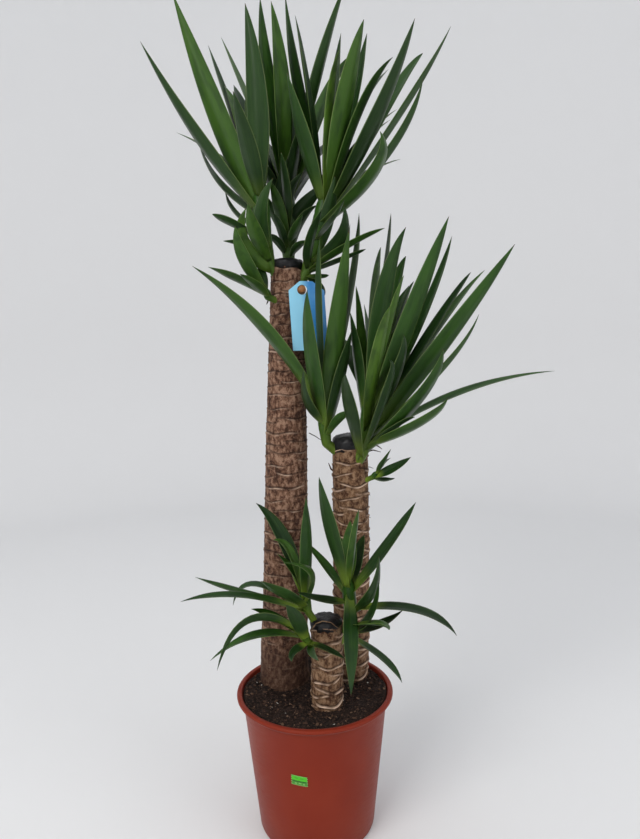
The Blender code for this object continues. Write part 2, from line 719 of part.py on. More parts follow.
def place_leaves(shoot, points, others):
    """Choose every leaf of a shoot, bent back or forward until it clears other pieces."""
    kept = []
    outer = []
    jobs = [(seen_leaf, row) for row in spread_roots(shoot["leaves"])]
    jobs += [(hidden_leaf, k) for k in range(shoot["back"])]
    for maker, row in jobs:
        best = None
        for shift in TRIES:
            leaf = maker(shoot, points, row, shift)
            rows = leaf_rows(leaf, leaf_count(leaf))
            tree = sheets(rows, CLEARANCE)
            if any(tree.overlap(other) for other in others):
                continue
            free = sheets(rows[1:], LEAF_THICKNESS)
            crossed = sum(1 for other in outer if free.overlap(other))
            if best is None or crossed < best[0]:
                best = (crossed, leaf, rows, free)
            if crossed == 0:
                break
        if best is not None:
            kept.append((best[1], best[2]))
            outer.append(best[3])
    return kept


def leaf_object(name, rows, folded, group):
    """One leaf blade from a shaped grid with a thickness; long leaves have a folded midrib."""
    bm = bmesh.new()
    bmesh.ops.create_grid(bm, x_segments=2 if folded else 1, y_segments=len(rows) - 1, size=1.0)
    for vert in bm.verts:
        column = round(vert.co.x + 1.0)
        row = round((vert.co.y + 1.0) * 0.5 * (len(rows) - 1))
        vert.co = rows[row][column]
    bmesh.ops.triangulate(bm, faces=bm.faces)
    return thicken(mesh_object(name, bm, group, "leaf_green"), LEAF_THICKNESS)


def drop_pockets(thing):
    """Keep the outer skin of a joined body and fill the pockets closed in between roots."""
    bm = bmesh.new()
    bm.from_mesh(thing.data)
    bm.verts.ensure_lookup_table()
    left = set(bm.verts)
    islands = []
    while left:
        island = set()
        front = [left.pop()]
        while front:
            vert = front.pop()
            island.add(vert)
            for edge in vert.link_edges:
                other = edge.other_vert(vert)
                if other in left:
                    left.discard(other)
                    front.append(other)
        islands.append(island)
    islands.sort(key=len)
    for island in islands[:-1]:
        bmesh.ops.delete(bm, geom=list(island), context="VERTS")
    bmesh.ops.dissolve_limit(bm, angle_limit=FLAT_ENOUGH, verts=bm.verts, edges=bm.edges)
    bmesh.ops.triangulate(bm, faces=bm.faces)
    bm.to_mesh(thing.data)
    bm.free()


def build_shoot(name, group, trees):
    """A stem with its leaves, all joined in one body."""
    shoot = SHOOTS[name]
    rows, points = stem_rows(shoot)
    stem = loft(name, rows, group, "leaf_green")
    others = [tree for other, found in trees.items() for tree in found if other != name]
    kept = place_leaves(shoot, points, others)
    blades = new_collection(f"{name}_blades")
    for k, (leaf, leaf_grid) in enumerate(kept):
        folded = leaf_length(leaf) > FOLDED_LEAF
        leaf_object(f"{name}_{k}", leaf_grid, folded, blades)
    union = stem.modifiers.new("join", "BOOLEAN")
    union.operation = "UNION"
    union.operand_type = "COLLECTION"
    union.solver = "MANIFOLD"
    union.collection = blades
    apply_modifiers(stem)
    drop_pockets(stem)
    for blade in list(blades.objects):
        bpy.data.objects.remove(blade, do_unlink=True)
    bpy.data.collections.remove(blades)
    trees[name] = [sheets(leaf, LEAF_THICKNESS) for _, leaf in kept] + trees.get(name, [])


def build_tag(group, cutters):
    """Curved hanging tag with a round hole near its upper edge."""
    hook = seen(*HOOK, 0.0)
    hook.z -= TAG_HOLE - STUB_RADIUS - FIT_GAP
    bm = bmesh.new()
    bmesh.ops.create_grid(bm, x_segments=5, y_segments=3, size=0.5)
    for vert in bm.verts:
        across, up = vert.co.x, vert.co.y
        narrow = TAG_SHOULDER if up > 0.49 else 1.0
        if 0.1 < up < 0.3:
            up = 0.5 - TAG_SLOPE
        vert.co = Vector((hook.x + TAG_SHIFT + across * narrow * TAG_WIDTH - up * TAG_LEAN,
                          TAG_BEND * (0.5 + across) ** 2 - TAG_FRONT,
                          hook.z + TAG_ABOVE - TAG_HEIGHT * (0.5 - up)))
    bmesh.ops.triangulate(bm, faces=bm.faces)
    tag = thicken(mesh_object("tag", bm, group, "tag_sheet"), TAG_THICKNESS)
    hole = rod("tag_hole", hook, Vector((0.0, 1.0, 0.0)), TAG_HOLE, 0.1, cutters, "tag_sheet")
    cut(tag, as_cutter(hole))
    return tag


def add_stub(cane, cutters):
    """Short stub of a cut shoot on the front of the tall cane, where the tag hangs."""
    hook = seen(*HOOK, 0.0)
    centre, _ = axis_at(cane_axis(CANES["tall_cane"]), hook.z)
    start = Vector((centre.x + STUB_SIDE, centre.y, hook.z - STUB_DROP))
    bend = Vector((hook.x, STUB_BEND, hook.z - 0.001))
    end = Vector((hook.x, bend.y - STUB_LENGTH, hook.z))
    rows = [ring_points(start, bend - start, STUB_RADIUS * 1.1, 10),
            ring_points(bend, end - start, STUB_RADIUS, 10),
            ring_points(end, end - bend, STUB_RADIUS * 0.92, 10)]
    stub = as_cutter(loft("stub", rows, cutters, "bark"))
    union = cane.modifiers.new("join", "BOOLEAN")
    union.operation = "UNION"
    union.solver = "EXACT"
    union.object = stub
    apply_modifiers(cane)


def build_sticker(group):
    """Small bare price sticker laid round the pot's wall."""
    ray = sight(*STICKER_PLACE)
    place = EYE.copy()
    for k in range(4000):
        place = EYE + ray * (k / 4000 * 2.0 / VIEW_SCALE)
        if math.hypot(place.x, place.y) < wall_radius(place.z):
            break
    middle = math.atan2(place.y, place.x)
    bm = bmesh.new()
    bmesh.ops.create_grid(bm, x_segments=4, y_segments=1, size=0.5)
    for vert in bm.verts:
        across, up = vert.co.x * STICKER_WIDTH, vert.co.y * STICKER_HEIGHT
        z = place.z + up - across * STICKER_TILT
        radius = wall_radius(z) + FIT_GAP * 2.0 + STICKER_THICKNESS * 0.5
        angle = middle + across / radius
        vert.co = Vector((radius * math.cos(angle), radius * math.sin(angle), z))
    bmesh.ops.triangulate(bm, faces=bm.faces)
    thicken(mesh_object("sticker", bm, group, "sticker_paper"), STICKER_THICKNESS)


SOCKETS = {
    "tall_cane": ("shoot_tall_left", "shoot_tall_low", "shoot_tall_back", "shoot_tall_right"),
    "medium_cane": ("shoot_medium_left", "shoot_medium_right", "shoot_medium_side"),
    "short_cane": ("shoot_short_left", "shoot_short_low", "shoot_short_right"),
}


def main():
    """Build every piece of the plant."""
    clear_scene()
    parts = new_collection("potted_yucca")
    cutters = new_collection("cutters")
    cutters.hide_render = True
    pot = build_pot(parts, cutters)
    soil = build_soil(parts, cutters)
    trees = {"pot": [tree_of(pot)], "soil": [tree_of(soil)]}
    for cane_name, shoots in SOCKETS.items():
        cane = build_cane(cane_name, parts)
        if cane_name == "tall_cane":
            add_stub(cane, cutters)
        cap = build_cap(cane_name.replace("cane", "cap"), cane_name, parts)
        for shoot in shoots:
            rows, _ = stem_rows(SHOOTS[shoot], FIT_GAP * 1.5, FIT_GAP * 1.5)
            socket = as_cutter(loft(f"socket_{shoot}", rows, cutters, "bark"))
            cut(cane, socket)
            cut(cap, socket)
            trees[shoot] = [tree_of(socket)]
        trees[cane_name] = [tree_of(cane), tree_of(cap)]
    tag = build_tag(parts, cutters)
    trees["tag"] = [tree_of(tag)]
    for shoots in SOCKETS.values():
        for shoot in shoots:
            build_shoot(shoot, parts, trees)
    build_sticker(parts)
    for thing in parts.objects:
        thing.data.shade_smooth()
        thing.data.set_sharp_from_angle(angle=SMOOTH_ANGLE)


main()
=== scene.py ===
"""Looks of a potted yucca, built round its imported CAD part.

Metres, +Z up, the pot's base centre at the origin, front towards -Y.
"""
import json
import math
import random

import bmesh
import bpy
import numpy as np
from mathutils import Matrix, Vector, noise
from mathutils.bvhtree import BVHTree

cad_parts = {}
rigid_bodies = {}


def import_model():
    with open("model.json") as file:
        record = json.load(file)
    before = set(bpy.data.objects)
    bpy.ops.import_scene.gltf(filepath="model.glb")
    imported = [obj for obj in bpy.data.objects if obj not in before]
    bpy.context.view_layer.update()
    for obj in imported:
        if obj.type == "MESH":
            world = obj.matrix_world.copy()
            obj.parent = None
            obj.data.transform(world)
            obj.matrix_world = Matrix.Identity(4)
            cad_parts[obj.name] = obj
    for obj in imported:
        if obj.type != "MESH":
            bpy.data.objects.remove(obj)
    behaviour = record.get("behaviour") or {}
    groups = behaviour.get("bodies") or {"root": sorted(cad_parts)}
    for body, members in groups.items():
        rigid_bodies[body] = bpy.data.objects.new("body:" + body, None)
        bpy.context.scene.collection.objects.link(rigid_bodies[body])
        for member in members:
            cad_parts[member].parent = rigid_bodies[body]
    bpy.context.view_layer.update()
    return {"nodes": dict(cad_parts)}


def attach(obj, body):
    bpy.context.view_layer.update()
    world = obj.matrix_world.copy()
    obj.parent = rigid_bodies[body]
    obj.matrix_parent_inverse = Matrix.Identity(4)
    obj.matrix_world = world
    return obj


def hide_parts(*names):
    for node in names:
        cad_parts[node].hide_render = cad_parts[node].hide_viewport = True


UP = Vector((0.0, 0.0, 1.0))
MM = 0.001

# Eye point and view of the photograph, as in the part's source
EYE = Vector((0.018, -1.091, 0.831))
VIEW_PITCH = math.radians(6.0)
VIEW_ROLL = math.radians(1.1)
VIEW_SCALE = 650.0
VIEW_U = 320.0
VIEW_V = 419.5
IMAGE_HEIGHT = 839.0

# Pot and soil, as in the part's source
POT_HEIGHT = 0.2425
RIM_RADIUS = 0.1365
RIM_INNER_RADIUS = 0.1275
LIP_DEPTH = 0.012
NECK_RADIUS = 0.1258
BASE_RADIUS = 0.1010
WALL = 0.0025
SOIL_TOP = 0.2385
SOIL_RADIUS = 0.1255
SOIL_WAVE = 0.0022
CANE_FOOT = SOIL_TOP + 0.008

CANES = {
    "tall_cane": {
        "foot": (-0.0545, 0.044, 0.0450),
        "line": ((284.5, 665, 0.0440), (285.5, 600, 0.0405), (286.5, 450, 0.0365),
                 (287, 350, 0.0320), (287, 265, 0.0268)),
        "cap": 0.010, "seed": 3,
    },
    "medium_cane": {
        "foot": (0.0660, 0.052, 0.0315),
        "line": ((351, 655, 0.0325), (351.5, 600, 0.0325), (351, 520, 0.0325),
                 (350, 446, 0.0310)),
        "cap": 0.022, "seed": 7,
    },
    "short_cane": {
        "foot": (0.0215, -0.045, 0.0265),
        "line": ((327, 690, 0.0270), (327, 660, 0.0268), (326, 622, 0.0258)),
        "cap": 0.010, "seed": 11,
    },
}

# Leaves, as in the part's source
LEAF_FOLD = 0.20
TRIES = (0, -12, 12, -24, 24, -36, 36, -50, 50, -65, 65, -80, 80, -100, 100, -125, 125, -150, 150)
GOLDEN_SHARE = 0.618
WIDTH_SLOPE = 0.16
WIDTH_LEAST = 0.006
HIDDEN_DROOP = 12.0
HIDDEN_RISE = 36.0
HIDDEN_SPAN = 34.0
ROOT_STEP = 2.2
ROOT_OFFSET = 0.55
LEAF_MISS = 0.02

SHOOTS = {
    "shoot_tall_left": {
        "stem": ((279, 281, 40), (270, 262, 30), (264, 235, 24), (261, 205, 22), (259, 186, 22)),
        "radius": 0.0085, "crown": 0.0140, "width": 0.038,
        "back": 7, "fan": (100, 155), "length": 0.28, "seed": 1, "fresh": (0.0, 0.25),
        "leaves": (
            (140, 41, 197, 137, 212, 12, -50), (199, 143, 219, 183, 216, 6, 150),
            (172, -8, 217, 115, 206, 23, -40), (208, 45, 231, 114, 190, 7, 110),
            (233, 91, 247, 146, 200, 19, -130), (245, 3, 256, 97, 190, 23, -50),
            (273, 178, 260, 215, 252, 15, -70), (248, 203, 255, 233, 262, 16, -110),
            (246, 208, 243, 243, 271, 16, -60),
            (225, 190, 236, 214, 228, 5, 80), (212, 214, 228, 222, 240, 8, -60),
            (223, 241, 238, 243, 246, 5, -40),
        ),
    },
    "shoot_tall_low": {
        "stem": ((277, 301, 26), (268, 297, 18), (265, 288, 14)),
        "radius": 0.0055, "crown": 0.0065, "width": 0.024,
        "back": 1, "fan": (150, 200), "length": 0.07, "seed": 2, "fresh": (0.2, 0.5),
        "leaves": (
            (235, 226, 243, 257, 290, 14, -60), (256, 257, 262, 274, 290, 8, 20),
            (208, 267, 236, 279, 292, 8, -50), (240, 274, 254, 284, 295, 9, -70),
        ),
    },
    "shoot_tall_back": {
        "stem": ((288, 285, 62), (289, 262, 84), (288, 240, 92), (287, 210, 94), (287, 180, 95)),
        "radius": 0.0100, "crown": 0.0150, "width": 0.038,
        "back": 9, "fan": (40, 140), "length": 0.26, "seed": 3, "fresh": (0.0, 0.2),
        "leaves": (
            (260, -3, 267, 82, 175, 15, 10), (271, 1, 281, 84, 188, 17, 30),
            (351, 55, 323, 106, 197, 13, 40), (288, 158, 283, 192, 232, 17, -40),
            (303, 172, 288, 200, 236, 12, -50), (270, 181, 278, 206, 243, 12, -60),
            (303, 214, 295, 230, 247, 9, -60), (273, 213, 280, 228, 250, 9, -50),
            (221, 37, 245, 95, 190, 5, 40), (346, -18, 320, 70, 185, 11, 0),
            (331, 178, 303, 207, 226, 16, -60), (312, 160, 296, 184, 205, 6, 30),
            (303, 118, 294, 160, 200, 12, -50), (262, 160, 273, 184, 213, 10, -30),
            (281, 152, 285, 187, 226, 10, -70), (257, 192, 270, 208, 230, 9, -50),
            (318, 205, 301, 222, 238, 9, -50), (266, 236, 276, 240, 250, 8, -50),
            (308, 241, 298, 246, 254, 8, -50),
        ),
    },
    "shoot_tall_right": {
        "stem": ((297, 290, 42), (306, 272, 36), (315, 245, 30), (323, 215, 28), (327, 188, 28)),
        "radius": 0.0090, "crown": 0.0150, "width": 0.040,
        "back": 6, "fan": (25, 80), "length": 0.28, "seed": 4, "fresh": (0.0, 0.3),
        "leaves": (
            (285, -6, 298, 95, 192, 12, 40), (295, 15, 307, 90, 195, 5, 90),
            (287, 73, 302, 137, 203, 15, -60), (341, 33, 333, 110, 190, 12, 100),
            (364, 19, 347, 95, 200, 19, -90), (340, 49, 332, 105, 204, 9, -100),
            (367, 33, 353, 105, 195, 12, 30),
            (393, 57, 361, 112, 190, 9, -50), (372, 86, 344, 138, 200, 6, 120),
            (415, 18, 380, 113, 198, 15, -80), (423, 53, 390, 102, 190, 12, 60),
            (451, 26, 403, 112, 190, 5, -20), (423, 79, 391, 152, 212, 9, -130),
            (380, 131, 374, 174, 222, 14, -160), (322, 209, 311, 240, 268, 11, -100),
            (335, 176, 328, 215, 258, 16, -110), (344, 200, 334, 218, 240, 6, -140),
            (344, 205, 340, 240, 264, 14, -90), (385, 228, 353, 244, 262, 7, -60),
            (366, 249, 347, 258, 266, 5, -50), (329, 275, 321, 277, 276, 5, -40),
            (322, 299, 321, 288, 278, 6, -50),
        ),
    },
    "shoot_medium_left": {
        "stem": ((336, 451, 46), (326.5, 443, 34), (324.5, 427, 26), (323.5, 405, 23), (323, 390, 22)),
        "radius": 0.0085, "crown": 0.0115, "width": 0.034,
        "back": 4, "fan": (100, 160), "length": 0.22, "seed": 5, "fresh": (0.2, 0.6),
        "leaves": (
            (192, 266, 264, 329, 410, 14, -60), (284, 315, 290, 359, 420, 6, 110),
            (304, 370, 306, 400, 424, 9, -70), (307, 290, 310, 354, 428, 16, -120),
            (320, 238, 317, 308, 416, 7, -80), (349, 230, 337, 330, 421, 21, -120),
            (359, 213, 352, 290, 412, 8, 60), (350, 224, 343, 290, 398, 6, 40),
            (352, 330, 341, 378, 425, 12, -50),
            (351, 413, 340, 418, 432, 9, -60),
        ),
    },
    "shoot_medium_right": {
        "stem": ((356, 464, 38), (363, 451, 22), (366, 430, 18), (369, 405, 18), (370, 385, 18)),
        "radius": 0.0105, "crown": 0.0125, "width": 0.034,
        "back": 5, "fan": (35, 100), "length": 0.22, "seed": 6, "fresh": (0.2, 0.6),
        "leaves": (
            (356, 286, 360, 335, 415, 9, 60), (364, 304, 368, 345, 402, 6, 110),
            (350, 312, 356, 356, 418, 10, 20), (404, 335, 398, 372, 426, 12, -60),
            (381, 247, 376, 290, 395, 8, 140), (391, 213, 386, 275, 392, 5, 110),
            (406, 227, 383, 302, 412, 19, -60), (406, 256, 392, 302, 398, 14, 40),
            (404, 275, 391, 322, 405, 7, -110), (390, 306, 378, 356, 430, 14, -170),
            (449, 216, 413, 311, 420, 19, -50), (452, 236, 424, 315, 420, 10, 50),
            (414, 281, 398, 320, 400, 8, 110), (471, 272, 436, 325, 412, 9, 10),
            (485, 270, 440, 326, 405, 8, 90), (515, 244, 448, 337, 422, 18, -60),
            (479, 314, 442, 371, 415, 5, -90), (555, 371, 461, 393, 428, 6, 30),
            (448, 398, 420, 424, 446, 10, -110), (415, 417, 398, 426, 440, 5, -70),
            (443, 349, 422, 396, 434, 13, -140), (381, 401, 383, 424, 444, 8, -90),
            (346, 375, 348, 404, 438, 14, -90), (389, 360, 389, 388, 434, 8, -110),
        ),
    },
    "shoot_medium_side": {
        "stem": ((366, 480, 36), (373, 477, 26), (377, 472, 22)),
        "radius": 0.0045, "crown": 0.0050, "width": 0.018,
        "back": 1, "fan": (0, 40), "length": 0.05, "seed": 7, "fresh": (0.6, 1.0),
        "leaves": (
            (391, 449, 383, 463, 473, 5, -30), (411, 457, 394, 468, 475.5, 9, -40),
            (395, 478, 386, 480, 478, 4, -20),
        ),
    },
    "shoot_short_left": {
        "stem": ((315, 622, -50), (308, 611, -60), (305, 598, -62), (304, 588, -62)),
        "radius": 0.0060, "crown": 0.0090, "width": 0.027,
        "back": 2, "fan": (95, 160), "length": 0.09, "seed": 8, "fresh": (0.5, 1.0),
        "leaves": (
            (256, 503, 282, 536, 592, 14, 60), (306, 497, 307, 548, 600, 13, -40),
            (273, 540, 290, 552, 594, 8, 20), (282, 562, 312, 574, 602, 6, -100),
            (261, 581, 283, 594, 606, 11, -110), (195, 577, 242, 593, 600, 6, 20),
            (180, 602, 240, 596, 606, 7, -50), (233, 606, 255, 585, 598, 6, 60),
        ),
    },
    "shoot_short_low": {
        "stem": ((317, 646, -52), (308, 642, -66), (304, 634, -68), (302, 626, -68)),
        "radius": 0.0055, "crown": 0.0085, "width": 0.026,
        "back": 1, "fan": (150, 190), "length": 0.07, "seed": 9, "fresh": (0.5, 1.0),
        "leaves": (
            (217, 671, 250, 621, 632, 8, -90), (210, 661, 255, 636, 637, 8, -60),
            (251, 609, 274, 617, 634, 8, 0), (286, 605, 297, 620, 634, 16, -60),
            (292, 662, 294, 652, 641, 8, -50), (319, 661, 312, 650, 640, 9, -80),
            (345, 659, 328, 650, 638, 6, -50),
        ),
    },
    "shoot_short_right": {
        "stem": ((336, 646, -42), (345, 634, -44), (351, 615, -50), (349, 592, -52), (348, 578, -52)),
        "radius": 0.0070, "crown": 0.0110, "width": 0.030,
        "back": 3, "fan": (50, 110), "length": 0.12, "seed": 10, "fresh": (0.4, 0.9),
        "leaves": (
            (319, 477, 329, 526, 588, 14, -60), (359, 509, 354, 542, 582, 8, -50),
            (416, 502, 390, 543, 588, 11, -20), (379, 556, 373, 592, 612, 10, -70),
            (379, 581, 371, 616, 630, 8, -100), (351, 696, 350, 640, 594, 16, -110),
            (457, 636, 418, 611, 608, 9, -60), (403, 610, 380, 625, 630, 8, -40),
            (389, 630, 376, 624, 624, 4, -60), (402, 683, 384, 660, 633, 7, -30),
            (302, 540, 323, 563, 588, 8, 50), (296, 592, 322, 600, 600, 8, -60),
        ),
    },
}

# Leaves named by their tip's place that look brighter or darker than their neighbours: painted light on leaves that
# are lit, painted shade on leaves in shade inside a crown
PAINTED_LIGHT_TONES = {(340, 49): 0.95, (364, 19): 0.85, (390, 306): 0.95, (404, 275): 0.9, (246, 208): 0.9,
          (248, 203): 0.85, (192, 266): 0.7, (515, 244): 0.6, (282, 562): 0.7, (351, 55): 0.65,
          (260, -3): 0.6, (381, 247): 0.75, (356, 286): 0.8, (449, 216): 0.6, (555, 371): 0.55}
PAINTED_SHADE_TONES = {(303, 172): 0.08, (331, 178): 0.1, (312, 160): 0.05, (322, 209): 0.1, (318, 205): 0.05,
        (266, 236): 0.05, (288, 158): 0.15, (262, 160): 0.1, (335, 176): 0.2, (344, 205): 0.15,
        (404, 335): 0.1, (389, 360): 0.1, (415, 417): 0.1, (320, 238): 0.15, (352, 330): 0.1}

# Bare bits on the canes: tone, depth in mm (None on the soil), radius in mm, places
BITS = (
    (0.10, 50, 0.8, ((366, 467), (370, 467), (373.5, 468.5))),
    (0.10, 50, 0.7, ((367, 491), (369.5, 493), (370, 496))),
    (0.10, 50, 0.7, ((366, 515), (369, 517), (371, 518))),
    (0.15, 50, 0.7, ((366, 536), (369, 538), (370.5, 541))),
    (0.35, 52, 1.8, ((336, 473), (331, 469), (328.5, 463))),
    (0.05, 36, 0.8, ((309, 433), (315, 436), (321, 440), (328, 444))),
    (0.30, 40, 1.6, ((364, 447), (371, 444), (378, 446), (382, 449))),
    (0.25, 38, 1.3, ((366, 452), (373, 450), (381, 452))),
    (0.12, 26, 1.6, ((270, 299), (268, 301), (266.5, 304.5))),
    (0.75, -72, 0.9, ((312, 629), (316, 623.5), (323, 621), (331, 622.5), (339, 629))),
    (0.90, None, 1.3, ((369, 662), (366, 669), (360, 674), (351, 674))),
)

# Tag and sticker
HOOK = (302, 289)
TAG_WIDTH = 0.059
TAG_HEIGHT = 0.114
TAG_HOLE = 0.0080
TAG_THICKNESS = 0.0008
TAG_BEND = 0.016
TAG_SHIFT = 0.0095
TAG_FRONT = 0.002
TAG_ABOVE = 0.014
TAG_LEAN = 0.006
STUB_RADIUS = 0.0065
STICKER_PLACE = (299.5, 780.5)
STICKER_WIDTH = 0.026
STICKER_HEIGHT = 0.017
STICKER_THICKNESS = 0.0006
STICKER_TILT = 0.09


# Sight lines
def sight(u, v):
    """Direction of the sight line through a picture place."""
    forward = Vector((0.0, math.cos(VIEW_PITCH), -math.sin(VIEW_PITCH)))
    across = Vector((1.0, 0.0, 0.0))
    down = Vector((0.0, -math.sin(VIEW_PITCH), -math.cos(VIEW_PITCH)))
    turned_across = across * math.cos(VIEW_ROLL) + down * math.sin(VIEW_ROLL)
    turned_down = down * math.cos(VIEW_ROLL) - across * math.sin(VIEW_ROLL)
    return forward * VIEW_SCALE + turned_across * (u - VIEW_U) + turned_down * (v - VIEW_V)


def seen(u, v, depth):
    """Point on a sight line at a given depth (world Y)."""
    ray = sight(u, v)
    return EYE + ray * ((depth - EYE.y) / ray.y)


# Meshes
def mesh_piece(name, points, faces, marks=None, smooth=True):
    """Object from points and faces, with named numbers kept at its points."""
    mesh = bpy.data.meshes.new(name)
    mesh.from_pydata([tuple(p) for p in points], [], faces)
    mesh.update()
    for key, values in (marks or {}).items():
        layer = mesh.attributes.new(key, "FLOAT", "POINT")
        layer.data.foreach_set("value", np.asarray(values, np.float32))
    if smooth:
        mesh.shade_smooth()
    made = bpy.data.objects.new(name, mesh)
    bpy.context.scene.collection.objects.link(made)
    return made


def dress(thing, paint, slot_name, *nodes):
    """Give a piece its material and its place in the frame."""
    thing.data.materials.clear()
    thing.data.materials.append(paint)
    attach(thing, "root")
    if nodes:
        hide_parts(*nodes)
    return thing


class Build:
    """Points, faces and marks gathered for one piece."""

    def __init__(self, *marks):
        self.points = []
        self.faces = []
        self.marks = {key: [] for key in marks}

    def grid(self, rows, closed, marks):
        """Add a grid of points; closed joins each row's ends."""
        start = len(self.points)
        count = len(rows[0])
        for row in rows:
            self.points.extend(row)
        for key in self.marks:
            self.marks[key].extend(marks[key])
        for i in range(len(rows) - 1):
            for j in range(count if closed else count - 1):
                a = start + i * count + j
                b = start + i * count + (j + 1) % count
                self.faces.append((a, b, b + count, a + count))
        return start

    def cap(self, start, count, flip):
        """Close a ring of points."""
        ring = tuple(range(start, start + count))
        self.faces.append(tuple(reversed(ring)) if flip else ring)

    def tube(self, path, radii, sides, marks):
        """Round tube along a path with flat ends; marks are one number a key."""
        rows = []
        for i, point in enumerate(path):
            ahead = path[min(i + 1, len(path) - 1)]
            behind = path[max(i - 1, 0)]
            rows.append(ring_points(point, ahead - behind, radii[i], sides))
        flat = {key: [marks[key]] * (len(rows) * sides) for key in self.marks}
        start = self.grid(rows, True, flat)
        self.cap(start, sides, True)
        self.cap(start + (len(rows) - 1) * sides, sides, False)

    def piece(self, name, smooth=True):
        """Make the object, with its faces pointing out."""
        made = mesh_piece(name, self.points, self.faces, self.marks, smooth)
        bm = bmesh.new()
        bm.from_mesh(made.data)
        bmesh.ops.recalc_face_normals(bm, faces=bm.faces)
        bm.to_mesh(made.data)
        bm.free()
        return made


def ring_points(centre, axis, radius, sides):
    """Points of a regular ring about an axis."""
    axis = axis.normalized()
    side = axis.cross(Vector((0.0, 1.0, 0.0)))
    if side.length < 0.1:
        side = axis.cross(Vector((1.0, 0.0, 0.0)))
    side.normalize()
    other = axis.cross(side)
    angles = [2.0 * math.pi * k / sides for k in range(sides)]
    return [centre + side * (radius * math.cos(a)) + other * (radius * math.sin(a)) for a in angles]


# Materials
class Paint:
    """Short names for building a material's nodes."""

    def __init__(self, name):
        self.material = bpy.data.materials.new(name)
        self.material.use_nodes = True
        self.tree = self.material.node_tree
        self.shader = self.tree.nodes["Principled BSDF"]

    def put(self, socket, value):
        """Set an input to a number or colour, or link it."""
        if isinstance(value, bpy.types.NodeSocket):
            self.tree.links.new(value, socket)
        elif isinstance(value, tuple) and len(value) == 3 and socket.type == "RGBA":
            socket.default_value = (*value, 1.0)
        else:
            socket.default_value = value

    def mark(self, key):
        """Number kept at the points."""
        node = self.tree.nodes.new("ShaderNodeAttribute")
        node.attribute_name = key
        return node.outputs["Fac"]

    def place(self):
        """Object coordinates."""
        return self.tree.nodes.new("ShaderNodeTexCoord").outputs["Object"]

    def maths(self, operation, a, b=0.0, c=0.0, clamp=False):
        """One step of arithmetic."""
        node = self.tree.nodes.new("ShaderNodeMath")
        node.operation = operation
        node.use_clamp = clamp
        for socket, value in zip(node.inputs, (a, b, c)):
            self.put(socket, value)
        return node.outputs[0]

    def noise(self, vector, scale, detail=3.0, rough=0.5):
        """Noise number, about 0.5."""
        node = self.tree.nodes.new("ShaderNodeTexNoise")
        self.put(node.inputs["Vector"], vector)
        node.inputs["Scale"].default_value = scale
        node.inputs["Detail"].default_value = detail
        node.inputs["Roughness"].default_value = rough
        return node.outputs["Fac"]

    def stretch(self, vector, scale):
        """Coordinates stretched along the axes."""
        node = self.tree.nodes.new("ShaderNodeMapping")
        self.put(node.inputs["Vector"], vector)
        node.inputs["Scale"].default_value = scale
        return node.outputs["Vector"]

    def join(self, x, y, z):
        """Vector from three numbers."""
        node = self.tree.nodes.new("ShaderNodeCombineXYZ")
        for socket, value in zip(node.inputs, (x, y, z)):
            self.put(socket, value)
        return node.outputs[0]

    def step(self, value, low, high, out_low=0.0, out_high=1.0):
        """Smooth step between two values."""
        node = self.tree.nodes.new("ShaderNodeMapRange")
        node.interpolation_type = "SMOOTHSTEP"
        for socket, number in zip(node.inputs, (value, low, high, out_low, out_high)):
            self.put(socket, number)
        return node.outputs[0]

    def mix(self, share, a, b, blend="MIX"):
        """Mix of two colours."""
        node = self.tree.nodes.new("ShaderNodeMix")
        node.data_type = "RGBA"
        node.blend_type = blend
        self.put(node.inputs[0], share)
        self.put(node.inputs[6], a)
        self.put(node.inputs[7], b)
        return node.outputs[2]

    def ramp(self, value, stops):
        """Colour from a number through stops (place, colour)."""
        node = self.tree.nodes.new("ShaderNodeValToRGB")
        self.put(node.inputs[0], value)
        band = node.color_ramp
        while len(band.elements) < len(stops):
            band.elements.new(0.5)
        for element, (place, colour) in zip(band.elements, stops):
            element.position = place
            element.color = (*colour, 1.0)
        return node.outputs["Color"]

    def bump(self, height, strength, distance):
        """Bump the surface by a height number."""
        node = self.tree.nodes.new("ShaderNodeBump")
        node.inputs["Strength"].default_value = strength
        node.inputs["Distance"].default_value = distance
        self.put(node.inputs["Height"], height)
        self.put(self.shader.inputs["Normal"], node.outputs[0])

    def finish(self, colour, rough, specular=0.5, **more):
        """Set the shader's inputs."""
        self.put(self.shader.inputs["Base Color"], colour)
        self.put(self.shader.inputs["Roughness"], rough)
        self.put(self.shader.inputs["Specular IOR Level"], specular)
        for key, value in more.items():
            self.put(self.shader.inputs[key.replace("_", " ")], value)
        return self.material


